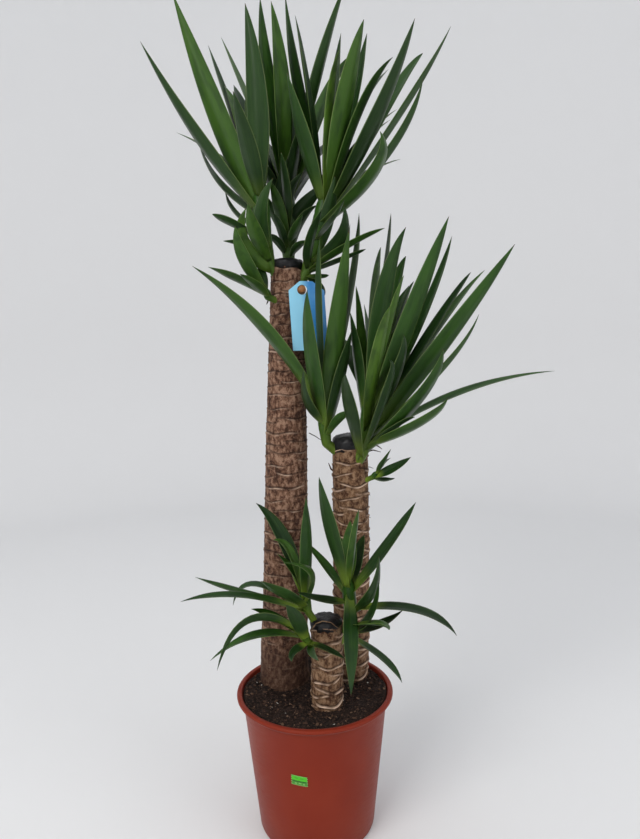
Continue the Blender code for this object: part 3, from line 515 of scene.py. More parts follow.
def leaf_paint():
    """Green leaf: tone by leaf, fine lengthwise veins, pale margins, dry tip, pale base."""
    p = Paint("leaf_look")
    across, along, tone = p.mark("across"), p.mark("along"), p.mark("tone")
    wide, under, fresh = p.mark("wide"), p.mark("under"), p.mark("fresh")
    green = p.ramp(tone, ((0.0, (0.0050, 0.0185, 0.0050)), (0.30, (0.0095, 0.0385, 0.0048)),
                          (0.60, (0.0225, 0.0740, 0.0068)), (0.85, (0.0520, 0.1250, 0.0120)),
                          (1.0, (0.1050, 0.2100, 0.0150))))
    lines = p.noise(p.join(p.maths("MULTIPLY", wide, 1000.0), p.maths("MULTIPLY", along, 2.5),
                           p.maths("MULTIPLY", tone, 57.0)), 1.0, 2.0)
    green = p.mix(p.step(lines, 0.35, 0.7, 0.0, 0.30), green, (0.050, 0.105, 0.018))
    patch = p.noise(p.join(p.maths("MULTIPLY", wide, 90.0), p.maths("MULTIPLY", along, 6.0),
                           p.maths("MULTIPLY", tone, 31.0)), 1.0, 2.0)
    green = p.mix(p.step(patch, 0.42, 0.70, 0.0, 0.55), green, (0.0065, 0.0240, 0.0055))
    green = p.mix(p.maths("MULTIPLY", under, 0.28), green, (0.030, 0.064, 0.018))
    edge = p.maths("ABSOLUTE", across)
    green = p.mix(p.step(edge, 0.93, 0.99, 0.0, 0.55), green, (0.190, 0.250, 0.080))
    low = p.maths("SUBTRACT", 1.0, p.step(along, 0.02, 0.26))
    green = p.mix(p.maths("MULTIPLY", low, fresh), green, (0.200, 0.290, 0.035))
    tip = p.step(along, 0.975, 0.995)
    green = p.mix(tip, green, (0.060, 0.030, 0.014))
    p.bump(lines, 0.25, 0.0004)
    rough = p.step(patch, 0.3, 0.8, 0.34, 0.48)
    return p.finish(green, rough, 0.20)


def bit_paint():
    """Rootlets, nubs and dry sheaths, from nearly black to pale."""
    p = Paint("bit_look")
    streak = p.noise(p.place(), 420.0, 3.0)
    colour = p.ramp(p.mark("tone"), ((0.0, (0.010, 0.007, 0.005)), (0.35, (0.060, 0.030, 0.016)),
                                     (0.7, (0.200, 0.110, 0.055)), (1.0, (0.520, 0.380, 0.260))))
    colour = p.mix(p.step(streak, 0.4, 0.7, 0.0, 0.55), colour, (0.030, 0.017, 0.010))
    p.bump(streak, 0.4, 0.0006)
    return p.finish(colour, 0.8, 0.2)


def bark_paint(name, dark, middle, pale, scar):
    """Ringed bark: patchy brown, pale scar edges, painted shade in the hollows under them and on the cane's foot."""
    p = Paint(name)
    ridge, hollow_shade, foot = p.mark("ridge"), p.mark("hollow_shade"), p.mark("foot")
    place = p.place()
    broad = p.noise(place, 38.0, 2.0)
    blocks = p.noise(p.stretch(place, (150.0, 150.0, 95.0)), 1.0, 4.0, 0.62)
    fine = p.noise(place, 700.0, 3.0, 0.7)
    flake = p.noise(p.stretch(place, (210.0, 210.0, 480.0)), 1.0, 3.0, 0.6)
    mixed = p.maths("ADD", p.maths("MULTIPLY", blocks, 0.8), p.maths("MULTIPLY", broad, 0.2))
    colour = p.ramp(mixed, ((0.41, dark), (0.50, middle), (0.60, pale)))
    colour = p.mix(p.step(flake, 0.56, 0.68, 0.0, 0.55), colour, pale)
    colour = p.mix(p.step(fine, 0.45, 0.68, 0.0, 0.55), colour, dark)
    # Painted shade: the hollows under the scar edges are darkened nearly to black.
    colour = p.mix(p.maths("MULTIPLY", hollow_shade, 0.85), colour, tuple(0.30 * c for c in dark))
    # Painted shade: the cane's foot, shaded by the leaves above, is darkened.
    colour = p.mix(p.maths("MULTIPLY", foot, 0.60), colour, tuple(0.75 * c for c in dark))
    colour = p.mix(ridge, colour, scar)
    p.bump(p.maths("ADD", p.maths("MULTIPLY", fine, 0.4), blocks), 0.8, 0.0018)
    return p.finish(colour, 0.82, 0.22)


def wax_paint():
    """Black sealing wax with a satin shine and dusty patches."""
    p = Paint("wax_look")
    place = p.place()
    grain = p.noise(place, 420.0, 4.0, 0.6)
    dust = p.noise(place, 130.0, 3.0)
    colour = p.mix(p.step(dust, 0.50, 0.75, 0.0, 0.5), (0.0055, 0.0055, 0.0065), (0.040, 0.038, 0.038))
    p.bump(grain, 0.5, 0.0010)
    return p.finish(colour, p.step(dust, 0.35, 0.7, 0.34, 0.60), 0.28)


def pot_paint():
    """Red-brown moulded plastic with faint scuffs and dust."""
    p = Paint("pot_look")
    place = p.place()
    cloud = p.noise(place, 14.0, 3.0)
    scuff = p.noise(p.stretch(place, (60.0, 60.0, 420.0)), 1.0, 4.0, 0.65)
    fine = p.noise(place, 1500.0, 2.0)
    colour = p.mix(p.step(cloud, 0.35, 0.7, 0.0, 0.5), (0.195, 0.0205, 0.0075), (0.230, 0.0290, 0.0110))
    colour = p.mix(p.step(scuff, 0.62, 0.80, 0.0, 0.22), colour, (0.32, 0.085, 0.050))
    p.bump(p.maths("ADD", p.maths("MULTIPLY", fine, 0.15), p.maths("MULTIPLY", scuff, 0.3)), 0.12, 0.0006)
    return p.finish(colour, p.step(scuff, 0.3, 0.75, 0.38, 0.52), 0.13, Sheen_Weight=0.04,
                    Sheen_Roughness=0.45)


def soil_paint():
    """Dark moist potting soil."""
    p = Paint("soil_look")
    place = p.place()
    crumbs = p.noise(place, 260.0, 5.0, 0.65)
    patches = p.noise(place, 40.0, 3.0)
    colour = p.ramp(crumbs, ((0.38, (0.0035, 0.0020, 0.0015)), (0.52, (0.017, 0.0090, 0.0066)),
                             (0.66, (0.075, 0.042, 0.030))))
    colour = p.mix(p.step(patches, 0.4, 0.7, 0.0, 0.4), colour, (0.026, 0.014, 0.010))
    p.bump(crumbs, 0.9, 0.0030)
    return p.finish(colour, 0.93, 0.2)


def crumb_paint():
    """Loose crumbs: soil, bark chips and a few white perlite grains."""
    p = Paint("crumb_look")
    kind = p.mark("kind")
    fine = p.noise(p.place(), 700.0, 3.0)
    colour = p.ramp(kind, ((0.0, (0.007, 0.004, 0.003)), (0.45, (0.026, 0.014, 0.010)),
                           (0.78, (0.095, 0.053, 0.034)), (0.93, (0.24, 0.15, 0.10)),
                           (1.0, (0.62, 0.58, 0.52))))
    p.bump(fine, 0.6, 0.0008)
    return p.finish(colour, 0.9, 0.2)


def tag_paint():
    """Bright blue coated sheet, with painted light making its left side paler and painted shade making its right
    side deeper.
    """
    p = Paint("tag_look")
    place = p.place()
    cloud = p.noise(place, 60.0, 2.0)
    # Painted light and shade: lit pale blue on the left side, shaded deep blue on the right.
    share = p.step(p.mark("across"), 0.30, 0.62)
    colour = p.mix(share, (0.255, 0.590, 0.790), (0.024, 0.205, 0.520))
    colour = p.mix(p.step(cloud, 0.4, 0.7, 0.0, 0.12), colour, (0.30, 0.60, 0.80))
    p.bump(p.noise(place, 900.0, 2.0), 0.06, 0.0003)
    return p.finish(colour, 0.38, 0.45)


def paper_paint(name, colour):
    """Plain paper with fine fibres."""
    p = Paint(name)
    fibre = p.noise(p.place(), 1400.0, 3.0)
    faded = tuple(0.8 * c for c in colour)
    p.bump(fibre, 0.15, 0.0002)
    return p.finish(p.mix(p.step(fibre, 0.35, 0.7, 0.0, 0.5), colour, faded), 0.55, 0.30)


def plain_paint(name, colour, rough, specular=0.3):
    """Plain colour with fine grain."""
    p = Paint(name)
    grain = p.noise(p.place(), 900.0, 3.0)
    p.bump(grain, 0.3, 0.0004)
    return p.finish(p.mix(p.step(grain, 0.3, 0.7, 0.0, 0.4), colour, tuple(0.6 * c for c in colour)),
                    rough, specular)


# Leaves
def stem_point(points, heights, v):
    """Place on the stem's middle at picture height v."""
    for (a, va), (b, vb) in zip(zip(points, heights), zip(points[1:], heights[1:])):
        if va >= v >= vb:
            return a + (b - a) * ((va - v) / (va - vb))
    return points[-1].copy() if v < heights[-1] else points[1].copy()


def off_axis(shoot, root, tip):
    """Root moved from the stem's middle towards the side that the leaf grows on."""
    flat = Vector((tip.x - root.x, tip.y - root.y, 0.0)).normalized()
    return root + flat * (shoot["crown"] * ROOT_OFFSET)


def seen_leaf(shoot, points, row, shift):
    """Root, knee, tip, width and turn of a leaf that a row describes."""
    tip_u, tip_v, knee_u, knee_v, root_v, seen_width, reach = row
    root = stem_point(points, [v for _, v, _ in shoot["stem"]], root_v)
    away = (reach + shift) * MM
    tip = seen(tip_u, tip_v, root.y + away)
    root = off_axis(shoot, root, tip)
    first = (seen(knee_u, knee_v, root.y) - root).length
    second = (seen(tip_u, tip_v, root.y) - seen(knee_u, knee_v, root.y)).length
    knee = seen(knee_u, knee_v, root.y + away * first / (first + second))
    size = seen_width * (tip - EYE).dot(sight(VIEW_U, VIEW_V)) / VIEW_SCALE ** 2
    length = (knee - root).length + (tip - knee).length
    width = max(size, min(shoot["width"], WIDTH_SLOPE * length + WIDTH_LEAST))
    return root, knee, tip, width, min(size / width, 0.98)


def spread_roots(rows):
    """Move roots that share a height down the stem, one step apart."""
    used = []
    moved = []
    for row in rows:
        v = row[4]
        while any(abs(v - other) < ROOT_STEP for other in used):
            v += 0.5
        used.append(v)
        moved.append(row[:4] + (v,) + row[5:])
    return moved


def hidden_leaf(shoot, points, k, shift):
    """Leaf on the far side of a shoot, set by the golden angle."""
    chance = random.Random(shoot["seed"] * 100 + k)
    part = (k + 0.5) / shoot["back"]
    root = points[-1] + (points[-2] - points[-1]) * (1.0 - part) * 0.9
    start, end = shoot["fan"]
    share = (k * GOLDEN_SHARE + 0.3) % 1.0
    turn = math.radians(start + (end - start) * share + shift * 0.25)
    rise = math.radians(HIDDEN_RISE + HIDDEN_SPAN * part + chance.uniform(-5, 5))
    length = shoot["length"] * chance.uniform(0.75, 1.0)
    out = Vector((math.cos(turn), math.sin(turn), 0.0))
    knee = root + (out * math.cos(rise) + UP * math.sin(rise)) * length * 0.5
    droop = rise - math.radians(HIDDEN_DROOP)
    tip = knee + (out * math.cos(droop) + UP * math.sin(droop)) * length * 0.5
    root = off_axis(shoot, root, tip)
    return root, knee, tip, shoot["width"] * 0.9, None


def width_share(t):
    """Leaf width along its length, as a share of the widest place."""
    if t < 0.38:
        return 0.46 + 0.54 * math.sin(0.5 * math.pi * t / 0.38)
    far = (t - 0.38) / 0.62
    return 0.012 + 0.988 * (1.0 - far ** 1.9)


def leaf_frames(leaf, count):
    """Place, side direction, upper normal and width along a leaf."""
    root, knee, tip, width, turn = leaf
    pull = knee * 2.0 - (root + tip) * 0.5
    flat = Vector((tip.x - root.x, tip.y - root.y, 0.0)).normalized()
    level = flat.cross(UP)
    frames = []
    sign = None
    for i in range(count + 1):
        t = i / count
        place = root * (1 - t) ** 2 + pull * (2 * t * (1 - t)) + tip * t * t
        along = ((pull - root) * (1 - t) + (tip - pull) * t).normalized()
        side = (level - along * level.dot(along)).normalized()
        if turn is not None:
            view = (place - EYE).normalized()
            across = along.cross(view).normalized()
            into = across.cross(along).normalized()
            lean = math.sqrt(1.0 - turn * turn)
            if sign is None:
                sign = 1.0 if side.dot(across) * side.dot(into) >= 0 else -1.0
            side = across * turn + into * (lean * sign)
        normal = side.cross(along).normalized()
        if normal.z < 0 or (abs(normal.z) < 0.2 and normal.dot(flat) > 0):
            normal.negate()
        if frames and frames[-1][2].dot(normal) < 0:
            normal.negate()
        frames.append((place, side, normal, width * width_share(t)))
    return frames


def leaf_length(leaf):
    """Length of a leaf from root to tip over its knee."""
    return (leaf[1] - leaf[0]).length + (leaf[2] - leaf[1]).length


def find_leaf(maker, shoot, points, row, tree):
    """Leaf whose bend matches the CAD shoot, or None where it has none."""
    best = None
    for shift in TRIES:
        leaf = maker(shoot, points, row, shift)
        miss = 0.0
        for place, side, normal, width in leaf_frames(leaf, 4)[1:]:
            hit = tree.find_nearest(place)
            miss += hit[3] if hit[0] is not None else 1.0
        miss += 2.0 * tree.find_nearest(leaf[2])[3]
        if best is None or miss < best[0]:
            best = (miss, leaf)
    return best[1] if best[0] < LEAF_MISS else None


def add_leaf(build, leaf, chance, fresh, tone):
    """One fine blade, thin at its margins, with marks for its material."""
    length = leaf_length(leaf)
    count = max(14, int(length / 0.011))
    half_steps = 5
    frames = leaf_frames(leaf, count)
    wave = chance.uniform(0, 6.28)
    rows = []
    marks = {key: [] for key in build.marks}
    spots = [j / half_steps - 1.0 for j in range(2 * half_steps + 1)]
    for i, (place, side, normal, width) in enumerate(frames):
        t = i / count
        half = 0.5 * width
        row = []
        for way in (1.0, -1.0):
            for s in (spots if way > 0 else reversed(spots)):
                lift = LEAF_FOLD * half * (1.5 * abs(s) ** 1.25 - 0.5)
                ripple = 0.0005 * s * math.sin(9.0 * t + wave) * min(1.0, 4.0 * (1 - t))
                thick = (0.00062 - 0.00040 * s * s) * min(1.0, 3.0 * (1 - t) + 0.15)
                row.append(place + side * (half * s) + normal * (lift + ripple + way * thick))
                marks["across"].append(s)
                marks["along"].append(t)
                marks["tone"].append(tone)
                marks["wide"].append(half * s)
                marks["under"].append(0.0 if way > 0 else 1.0)
                marks["fresh"].append(fresh)
        rows.append(row)
    start = build.grid(rows, True, marks)
    wide = len(rows[0])
    build.cap(start, wide, True)
    build.cap(start + (len(rows) - 1) * wide, wide, False)


def add_stem(build, shoot):
    """Green stem with sheathing leaf bases, from its socket to its crown."""
    points = [seen(u, v, d * MM) for u, v, d in shoot["stem"]]
    radius = shoot["radius"]
    path = []
    for a, b in zip(points, points[1:]):
        path += [a + (b - a) * (k / 8) for k in range(8)]
    path.append(points[-1])
    rows = []
    marks = {key: [] for key in build.marks}
    for i, point in enumerate(path):
        ahead = path[min(i + 1, len(path) - 1)]
        behind = path[max(i - 1, 0)]
        part = i / (len(path) - 1)
        wide = radius + (shoot["crown"] - radius) * min(max((part - 0.25) / 0.35, 0.0), 1.0)
        wide *= 1.0 if part < 0.8 else 1.0 - 2.6 * (part - 0.8)
        wide *= 0.985 + 0.03 * (i % 2)
        ring = ring_points(point, ahead - behind, wide, 20)
        rows.append(ring)
        for j in range(20):
            marks["across"].append(0.2)
            marks["along"].append(0.05 + 0.25 * part)
            marks["tone"].append(0.55)
            marks["wide"].append(0.012 * math.sin(j))
            marks["under"].append(0.0)
            marks["fresh"].append(shoot["fresh"][1] * (1.0 - 0.6 * part))
    start = build.grid(rows, True, marks)
    build.cap(start, 20, True)
    build.cap(start + (len(rows) - 1) * 20, 20, False)
    return points


def build_shoot(name, frame, paint):
    """All the leaves of one shoot, on its stem."""
    shoot = SHOOTS[name]
    node = frame["nodes"][name]
    tree = BVHTree.FromPolygons([v.co for v in node.data.vertices],
                                [tuple(p.vertices) for p in node.data.polygons])
    build = Build("across", "along", "tone", "wide", "under", "fresh")
    points = add_stem(build, shoot)
    chance = random.Random(shoot["seed"] * 7 + 1)
    jobs = [(seen_leaf, row) for row in spread_roots(shoot["leaves"])]
    jobs += [(hidden_leaf, k) for k in range(shoot["back"])]
    for maker, row in jobs:
        leaf = find_leaf(maker, shoot, points, row, tree)
        if leaf is None:
            continue
        flat = 1.0 - abs(leaf[2].z - leaf[0].z) / leaf_length(leaf)
        tone = min(max(chance.uniform(0.05, 0.80) - 0.15 * flat, 0.0), 1.0)
        if maker is seen_leaf:
            # Painted light and shade: a listed leaf takes a brighter or darker tone for how light falls on it.
            tone = PAINTED_LIGHT_TONES.get(row[:2], PAINTED_SHADE_TONES.get(row[:2], tone))
        add_leaf(build, leaf, chance, chance.uniform(*shoot["fresh"]), tone)
    return dress(build.piece(f"{name}_leaves"), paint, "leaf_green", name)


# Canes
def cane_axis(cane):
    """Points (x, y, z, radius) up the middle of a cane above the soil."""
    x, y, radius = cane["foot"]
    line = [(x, y, CANE_FOOT, radius)]
    for u, v, r in cane["line"]:
        point = seen(u, v, y)
        line.append((point.x, y, point.z, r))
    return line


def axis_at(line, z):
    """Centre and radius of a cane at a height."""
    for low, high in zip(line, line[1:]):
        if z <= high[2]:
            part = max((z - low[2]) / (high[2] - low[2]), 0.0)
            mixed = [a + (b - a) * part for a, b in zip(low, high)]
            return mixed[0], mixed[1], mixed[3]
    return line[-1][0], line[-1][1], line[-1][3]


def scar_field(angles, heights, scars):
    """Relief, pale edge and painted shade for the hollows of leaf scars over a grid of angle and height."""
    relief = np.zeros((len(heights), len(angles)))
    pale = np.zeros_like(relief)
    dark = np.zeros_like(relief)
    for centre, z0, reach, rise, high, thick, show in scars:
        turn = np.abs((angles - centre + math.pi) % (2 * math.pi) - math.pi)
        part = np.clip(turn / reach, 0.0, 1.0)
        middle = z0 + rise * part ** 2 + 0.0012 * np.sin(5.0 * angles + 40.0 * z0)
        fade = np.clip(1.25 - 1.25 * part ** 3, 0.0, 1.0) * (part < 1.0)
        off = heights[:, None] - middle[None, :]
        edge = np.where(off > 0, np.exp(-(off / (0.45 * thick)) ** 2), np.exp(-(off / (1.6 * thick)) ** 2))
        relief = np.maximum(relief, high * fade[None, :] * edge)
        pale = np.maximum(pale, show * fade[None, :] * np.exp(-((off + 0.2 * thick) / (0.6 * thick)) ** 2))
        # Painted shade: dark marks the hollows under the scar edges, where shade falls; it also sinks the bark a
        # little.
        above = np.exp(-((off - 1.4 * thick) / (1.1 * thick)) ** 2)
        dark = np.maximum(dark, fade[None, :] * above)
    return relief, pale, dark


def cane_scars(chance, low, high, spacing, reach, rise, tall, thick, show):
    """Leaf scars up a cane, turned by the golden angle."""
    scars = []
    z = low
    k = 0
    while z < high:
        centre = (k * 2.399963 + chance.uniform(-0.25, 0.25)) % (2 * math.pi)
        scars.append((centre, z, reach * chance.uniform(0.8, 1.15), rise * chance.uniform(0.4, 1.3),
                      tall * chance.uniform(0.6, 1.2), thick * chance.uniform(0.7, 1.3),
                      min(1.0, show * chance.uniform(0.3, 1.3))))
        z += spacing * chance.uniform(0.7, 1.3)
        k += 1
    return scars


def build_cane(name, paint, sides, rules):
    """Sawn cane with ridged leaf scars."""
    cane = CANES[name]
    line = cane_axis(cane)
    chance = random.Random(cane["seed"])
    top = line[-1][2]
    low = SOIL_TOP - 0.012
    step = rules["step"]
    heights = np.arange(low, top, step)
    heights[-1] = top
    angles = np.arange(sides) * (2 * math.pi / sides)
    scars = cane_scars(chance, low, top - 0.002, *rules["scars"])
    relief, pale, dark = scar_field(angles, heights, scars)
    build = Build("ridge", "hollow_shade", "foot")
    rows = []
    marks = {"ridge": [], "hollow_shade": [], "foot": []}
    for i, z in enumerate(heights):
        x, y, r = axis_at(line, z)
        # Near the soil the bark is smoothed and, through the foot mark, painted with shade.
        smooth = min(max((rules["smooth"] - (z - SOIL_TOP)) / 0.05, 0.0), 1.0)
        row = []
        for j, a in enumerate(angles):
            spot = Vector((math.cos(a) * r, math.sin(a) * r, z))
            rough = noise.noise(spot * 110.0) * 0.5 + noise.noise(spot * 330.0) * 0.3
            big = noise.noise(spot * 28.0 + Vector((cane["seed"], 0, 0)))
            out = relief[i, j] * (1.0 - 0.8 * smooth) + 0.0007 * rough + 0.0012 * big
            out -= 0.0006 * dark[i, j] * (1.0 - smooth)
            flaw = noise.noise(spot * 70.0 + Vector((0, 9.0, 0)))
            broken = min(max(0.55 + 1.8 * flaw, 0.0), 1.0) ** rules["broken"]
            row.append((x + math.cos(a) * (r + out), y + math.sin(a) * (r + out), z))
            marks["ridge"].append(pale[i, j] * broken * (1.0 - 0.85 * smooth))
            # Painted shade in the scar hollows.
            marks["hollow_shade"].append(dark[i, j] * (1.0 - smooth))
            # Painted shade on the cane's foot.
            marks["foot"].append(smooth)
        rows.append(row)
    start = build.grid(rows, True, marks)
    build.cap(start, sides, True)
    build.cap(start + (len(rows) - 1) * sides, sides, False)
    thing = build.piece(f"{name}_bark")
    return dress(thing, paint, "bark", name)


def build_wax(name, cane_name, paint):
    """Lumpy wax dome with an uneven skirt."""
    cane = CANES[cane_name]
    x, y, top, radius = cane_axis(cane)[-1]
    build = Build("ridge")
    sides = 64
    rows = []
    profile = ((1.00, -0.004), (1.035, -0.002), (1.05, 0.002), (1.04, 0.35), (1.0, 0.55), (0.92, 0.72),
               (0.80, 0.85), (0.62, 0.94), (0.42, 0.99), (0.22, 1.0), (0.06, 1.0))
    rise = cane["cap"]
    for k, (wide, high) in enumerate(profile):
        row = []
        for j in range(sides):
            a = 2 * math.pi * j / sides
            spot = Vector((math.cos(a) * wide, math.sin(a) * wide, high * 0.5))
            lump = noise.noise(spot * 3.0 + Vector((cane["seed"], 0, 0)))
            small = noise.noise(spot * 9.0)
            z = top + (high * rise if k > 2 else high)
            if k == 0:
                z -= 0.004 + 0.006 * max(lump, -0.3)
            r = radius * wide + 0.0016 * lump * (k > 1) + 0.0005 * small
            row.append((x + math.cos(a) * r, y + math.sin(a) * r,
                        z + (0.0016 * lump + 0.0006 * small) * (k > 2)))
        rows.append(row)
    start = build.grid(rows, True, {"ridge": [0.0] * (len(rows) * sides)})
    build.cap(start, sides, True)
    build.cap(start + (len(rows) - 1) * sides, sides, False)
    return dress(build.piece(name.replace("cap", "wax")), paint, "wax", name)


# Pot, soil, tag, sticker
def wall_radius(z):
    """Outer radius of the pot's tapered wall at a height."""
    return BASE_RADIUS + (NECK_RADIUS - BASE_RADIUS) * z / (POT_HEIGHT - LIP_DEPTH)


def build_pot(paint):
    """Fine turned pot with a rolled rim."""
    under = POT_HEIGHT - LIP_DEPTH
    top = POT_HEIGHT
    profile = [
        (0.0, 0.003), (wall_radius(0.003) - WALL - 0.004, 0.003), (wall_radius(0.006) - WALL - 0.001, 0.004),
        (wall_radius(0.008) - WALL, 0.008), (wall_radius(under - 0.002) - WALL, under - 0.002),
        (wall_radius(under) - WALL + 0.0008, under + 0.0012), (RIM_INNER_RADIUS - 0.0012, under + 0.0036),
        (RIM_INNER_RADIUS - 0.0004, under + 0.0060), (RIM_INNER_RADIUS, top - 0.0022),
        (RIM_INNER_RADIUS + 0.0004, top - 0.0010), (RIM_INNER_RADIUS + 0.0012, top - 0.0003),
        (RIM_INNER_RADIUS + 0.0022, top), (RIM_RADIUS - 0.0026, top), (RIM_RADIUS - 0.0013, top - 0.0004),
        (RIM_RADIUS - 0.0004, top - 0.0013), (RIM_RADIUS, top - 0.0026), (RIM_RADIUS, top - 0.0050),
        (RIM_RADIUS - 0.0008, top - 0.0062), (RIM_RADIUS - 0.0030, top - 0.0072),
        (wall_radius(under) + 0.0022, under + 0.0004), (wall_radius(under) + 0.0006, under - 0.0012),
        (wall_radius(under - 0.004), under - 0.004), (wall_radius(0.150), 0.150),
        (wall_radius(0.075), 0.075), (wall_radius(0.006), 0.006), (BASE_RADIUS - 0.0006, 0.0025),
        (BASE_RADIUS - 0.0022, 0.0006), (BASE_RADIUS - 0.0045, 0.0), (0.0, 0.0),
    ]
    mesh = bpy.data.meshes.new("pot_body")
    bm = bmesh.new()
    points = [bm.verts.new((x, 0.0, z)) for x, z in profile]
    for a, b in zip(points, points[1:]):
        bm.edges.new((a, b))
    bm.to_mesh(mesh)
    bm.free()
    pot = bpy.data.objects.new("pot_body", mesh)
    bpy.context.scene.collection.objects.link(pot)
    screw = pot.modifiers.new("turn", "SCREW")
    screw.steps = 160
    screw.render_steps = 160
    screw.use_merge_vertices = True
    screw.merge_threshold = 0.00005
    cutters = []
    for k in range(6):
        angle = 2.0 * math.pi * (k + 0.5) / 6
        bm = bmesh.new()
        bmesh.ops.create_cone(bm, cap_ends=True, segments=32, radius1=0.006, radius2=0.006, depth=0.02)
        hole_mesh = bpy.data.meshes.new("drain")
        bm.to_mesh(hole_mesh)
        bm.free()
        hole = bpy.data.objects.new(f"drain_{k}", hole_mesh)
        bpy.context.scene.collection.objects.link(hole)
        hole.location = (0.062 * math.cos(angle), 0.062 * math.sin(angle), 0.0)
        cutters.append(hole)
        boolean = pot.modifiers.new("cut", "BOOLEAN")
        boolean.operation = "DIFFERENCE"
        boolean.object = hole
    graph = bpy.context.evaluated_depsgraph_get()
    graph.update()
    baked = bpy.data.meshes.new_from_object(pot.evaluated_get(graph))
    pot.modifiers.clear()
    pot.data = baked
    for hole in cutters:
        bpy.data.objects.remove(hole, do_unlink=True)
    baked.shade_smooth()
    baked.set_sharp_from_angle(angle=math.radians(50))
    return dress(pot, paint, "pot_plastic", "pot")


def soil_height(x, y):
    """Uneven top of the soil, with one lump at the front left."""
    wave = math.sin(55 * x + 1.0) * math.cos(47 * y) + 0.5 * math.sin(121 * x - 83 * y)
    lump = 0.005 * math.exp(-((x + 0.083) ** 2 + (y + 0.018) ** 2) / 0.00012)
    return SOIL_TOP + SOIL_WAVE * wave + lump


def build_soil(paint):
    """Soil body with a crumbly top."""
    build = Build("kind")
    sides = 220
    rows = []
    low = 0.0040
    for radius, z in ((0.092, low), (wall_radius(0.2) - WALL - 0.0006, 0.2), (SOIL_RADIUS - 0.0027, 0.2330)):
        rows.append([(radius * math.cos(2 * math.pi * j / sides), radius * math.sin(2 * math.pi * j / sides), z)
                     for j in range(sides)])
    for n in range(90):
        radius = SOIL_RADIUS * (1 - n / 90)
        row = []
        for j in range(sides):
            a = 2 * math.pi * j / sides
            x, y = radius * math.cos(a), radius * math.sin(a)
            spot = Vector((x, y, 0.0))
            fine = noise.noise(spot * 240.0) * 0.0013 + abs(noise.noise(spot * 90.0)) * 0.0016
            drop = 0.0015 if n == 0 else 0.0
            row.append((x, y, soil_height(x, y) + fine - 0.0006 - drop))
        rows.append(row)
    start = build.grid(rows, True, {"kind": [0.0] * (len(rows) * sides)})
    build.cap(start, sides, True)
    build.cap(start + (len(rows) - 1) * sides, sides, False)
    return dress(build.piece("soil_top"), paint, "soil_mix", "soil")


def build_crumbs(paint, canes):
    """Loose crumbs and chips over the soil."""
    chance = random.Random(42)
    build = Build("kind")
    cube = bmesh.new()
    bmesh.ops.create_icosphere(cube, subdivisions=1, radius=1.0)
    shape = [v.co.copy() for v in cube.verts]
    sides = [tuple(v.index for v in f.verts) for f in cube.faces]
    cube.free()
    for k in range(1500):
        r = SOIL_RADIUS * math.sqrt(chance.random()) * 0.985
        a = chance.uniform(0, 2 * math.pi)
        x, y = r * math.cos(a), r * math.sin(a)
        if any(math.hypot(x - cx, y - cy) < cr for cx, cy, cr in canes):
            continue
        size = 0.0007 + 0.0021 * chance.random() ** 3
        kind = chance.random()
        kind = 1.0 if kind > 0.988 else 0.9 * kind
        if kind == 1.0:
            size = min(size, 0.0013)
        spin = Matrix.Rotation(chance.uniform(0, 6.28), 3, "Z") @ Matrix.Rotation(chance.uniform(0, 1.0), 3, "X")
        stretch = Vector((chance.uniform(0.8, 1.9), chance.uniform(0.6, 1.1), chance.uniform(0.5, 0.9)))
        start = len(build.points)
        place = Vector((x, y, soil_height(x, y) + size * 0.25))
        for corner in shape:
            jitter = 1.0 + chance.uniform(-0.25, 0.25)
            build.points.append(place + spin @ Vector((corner.x * stretch.x, corner.y * stretch.y,
                                                       corner.z * stretch.z)) * (size * jitter))
            build.marks["kind"].append(kind)
        build.faces.extend(tuple(start + i for i in face) for face in sides)
    return dress(build.piece("soil_crumbs", smooth=False), paint, "soil_mix")


def tag_point(hook, across, up):
    """Point of the tag's middle surface; across and up run from -0.5 to 0.5."""
    return Vector((hook.x + TAG_SHIFT + across * TAG_WIDTH - up * TAG_LEAN,
                   TAG_BEND * (0.5 + across) ** 2 - TAG_FRONT,
                   hook.z + TAG_ABOVE - TAG_HEIGHT * (0.5 - up)))


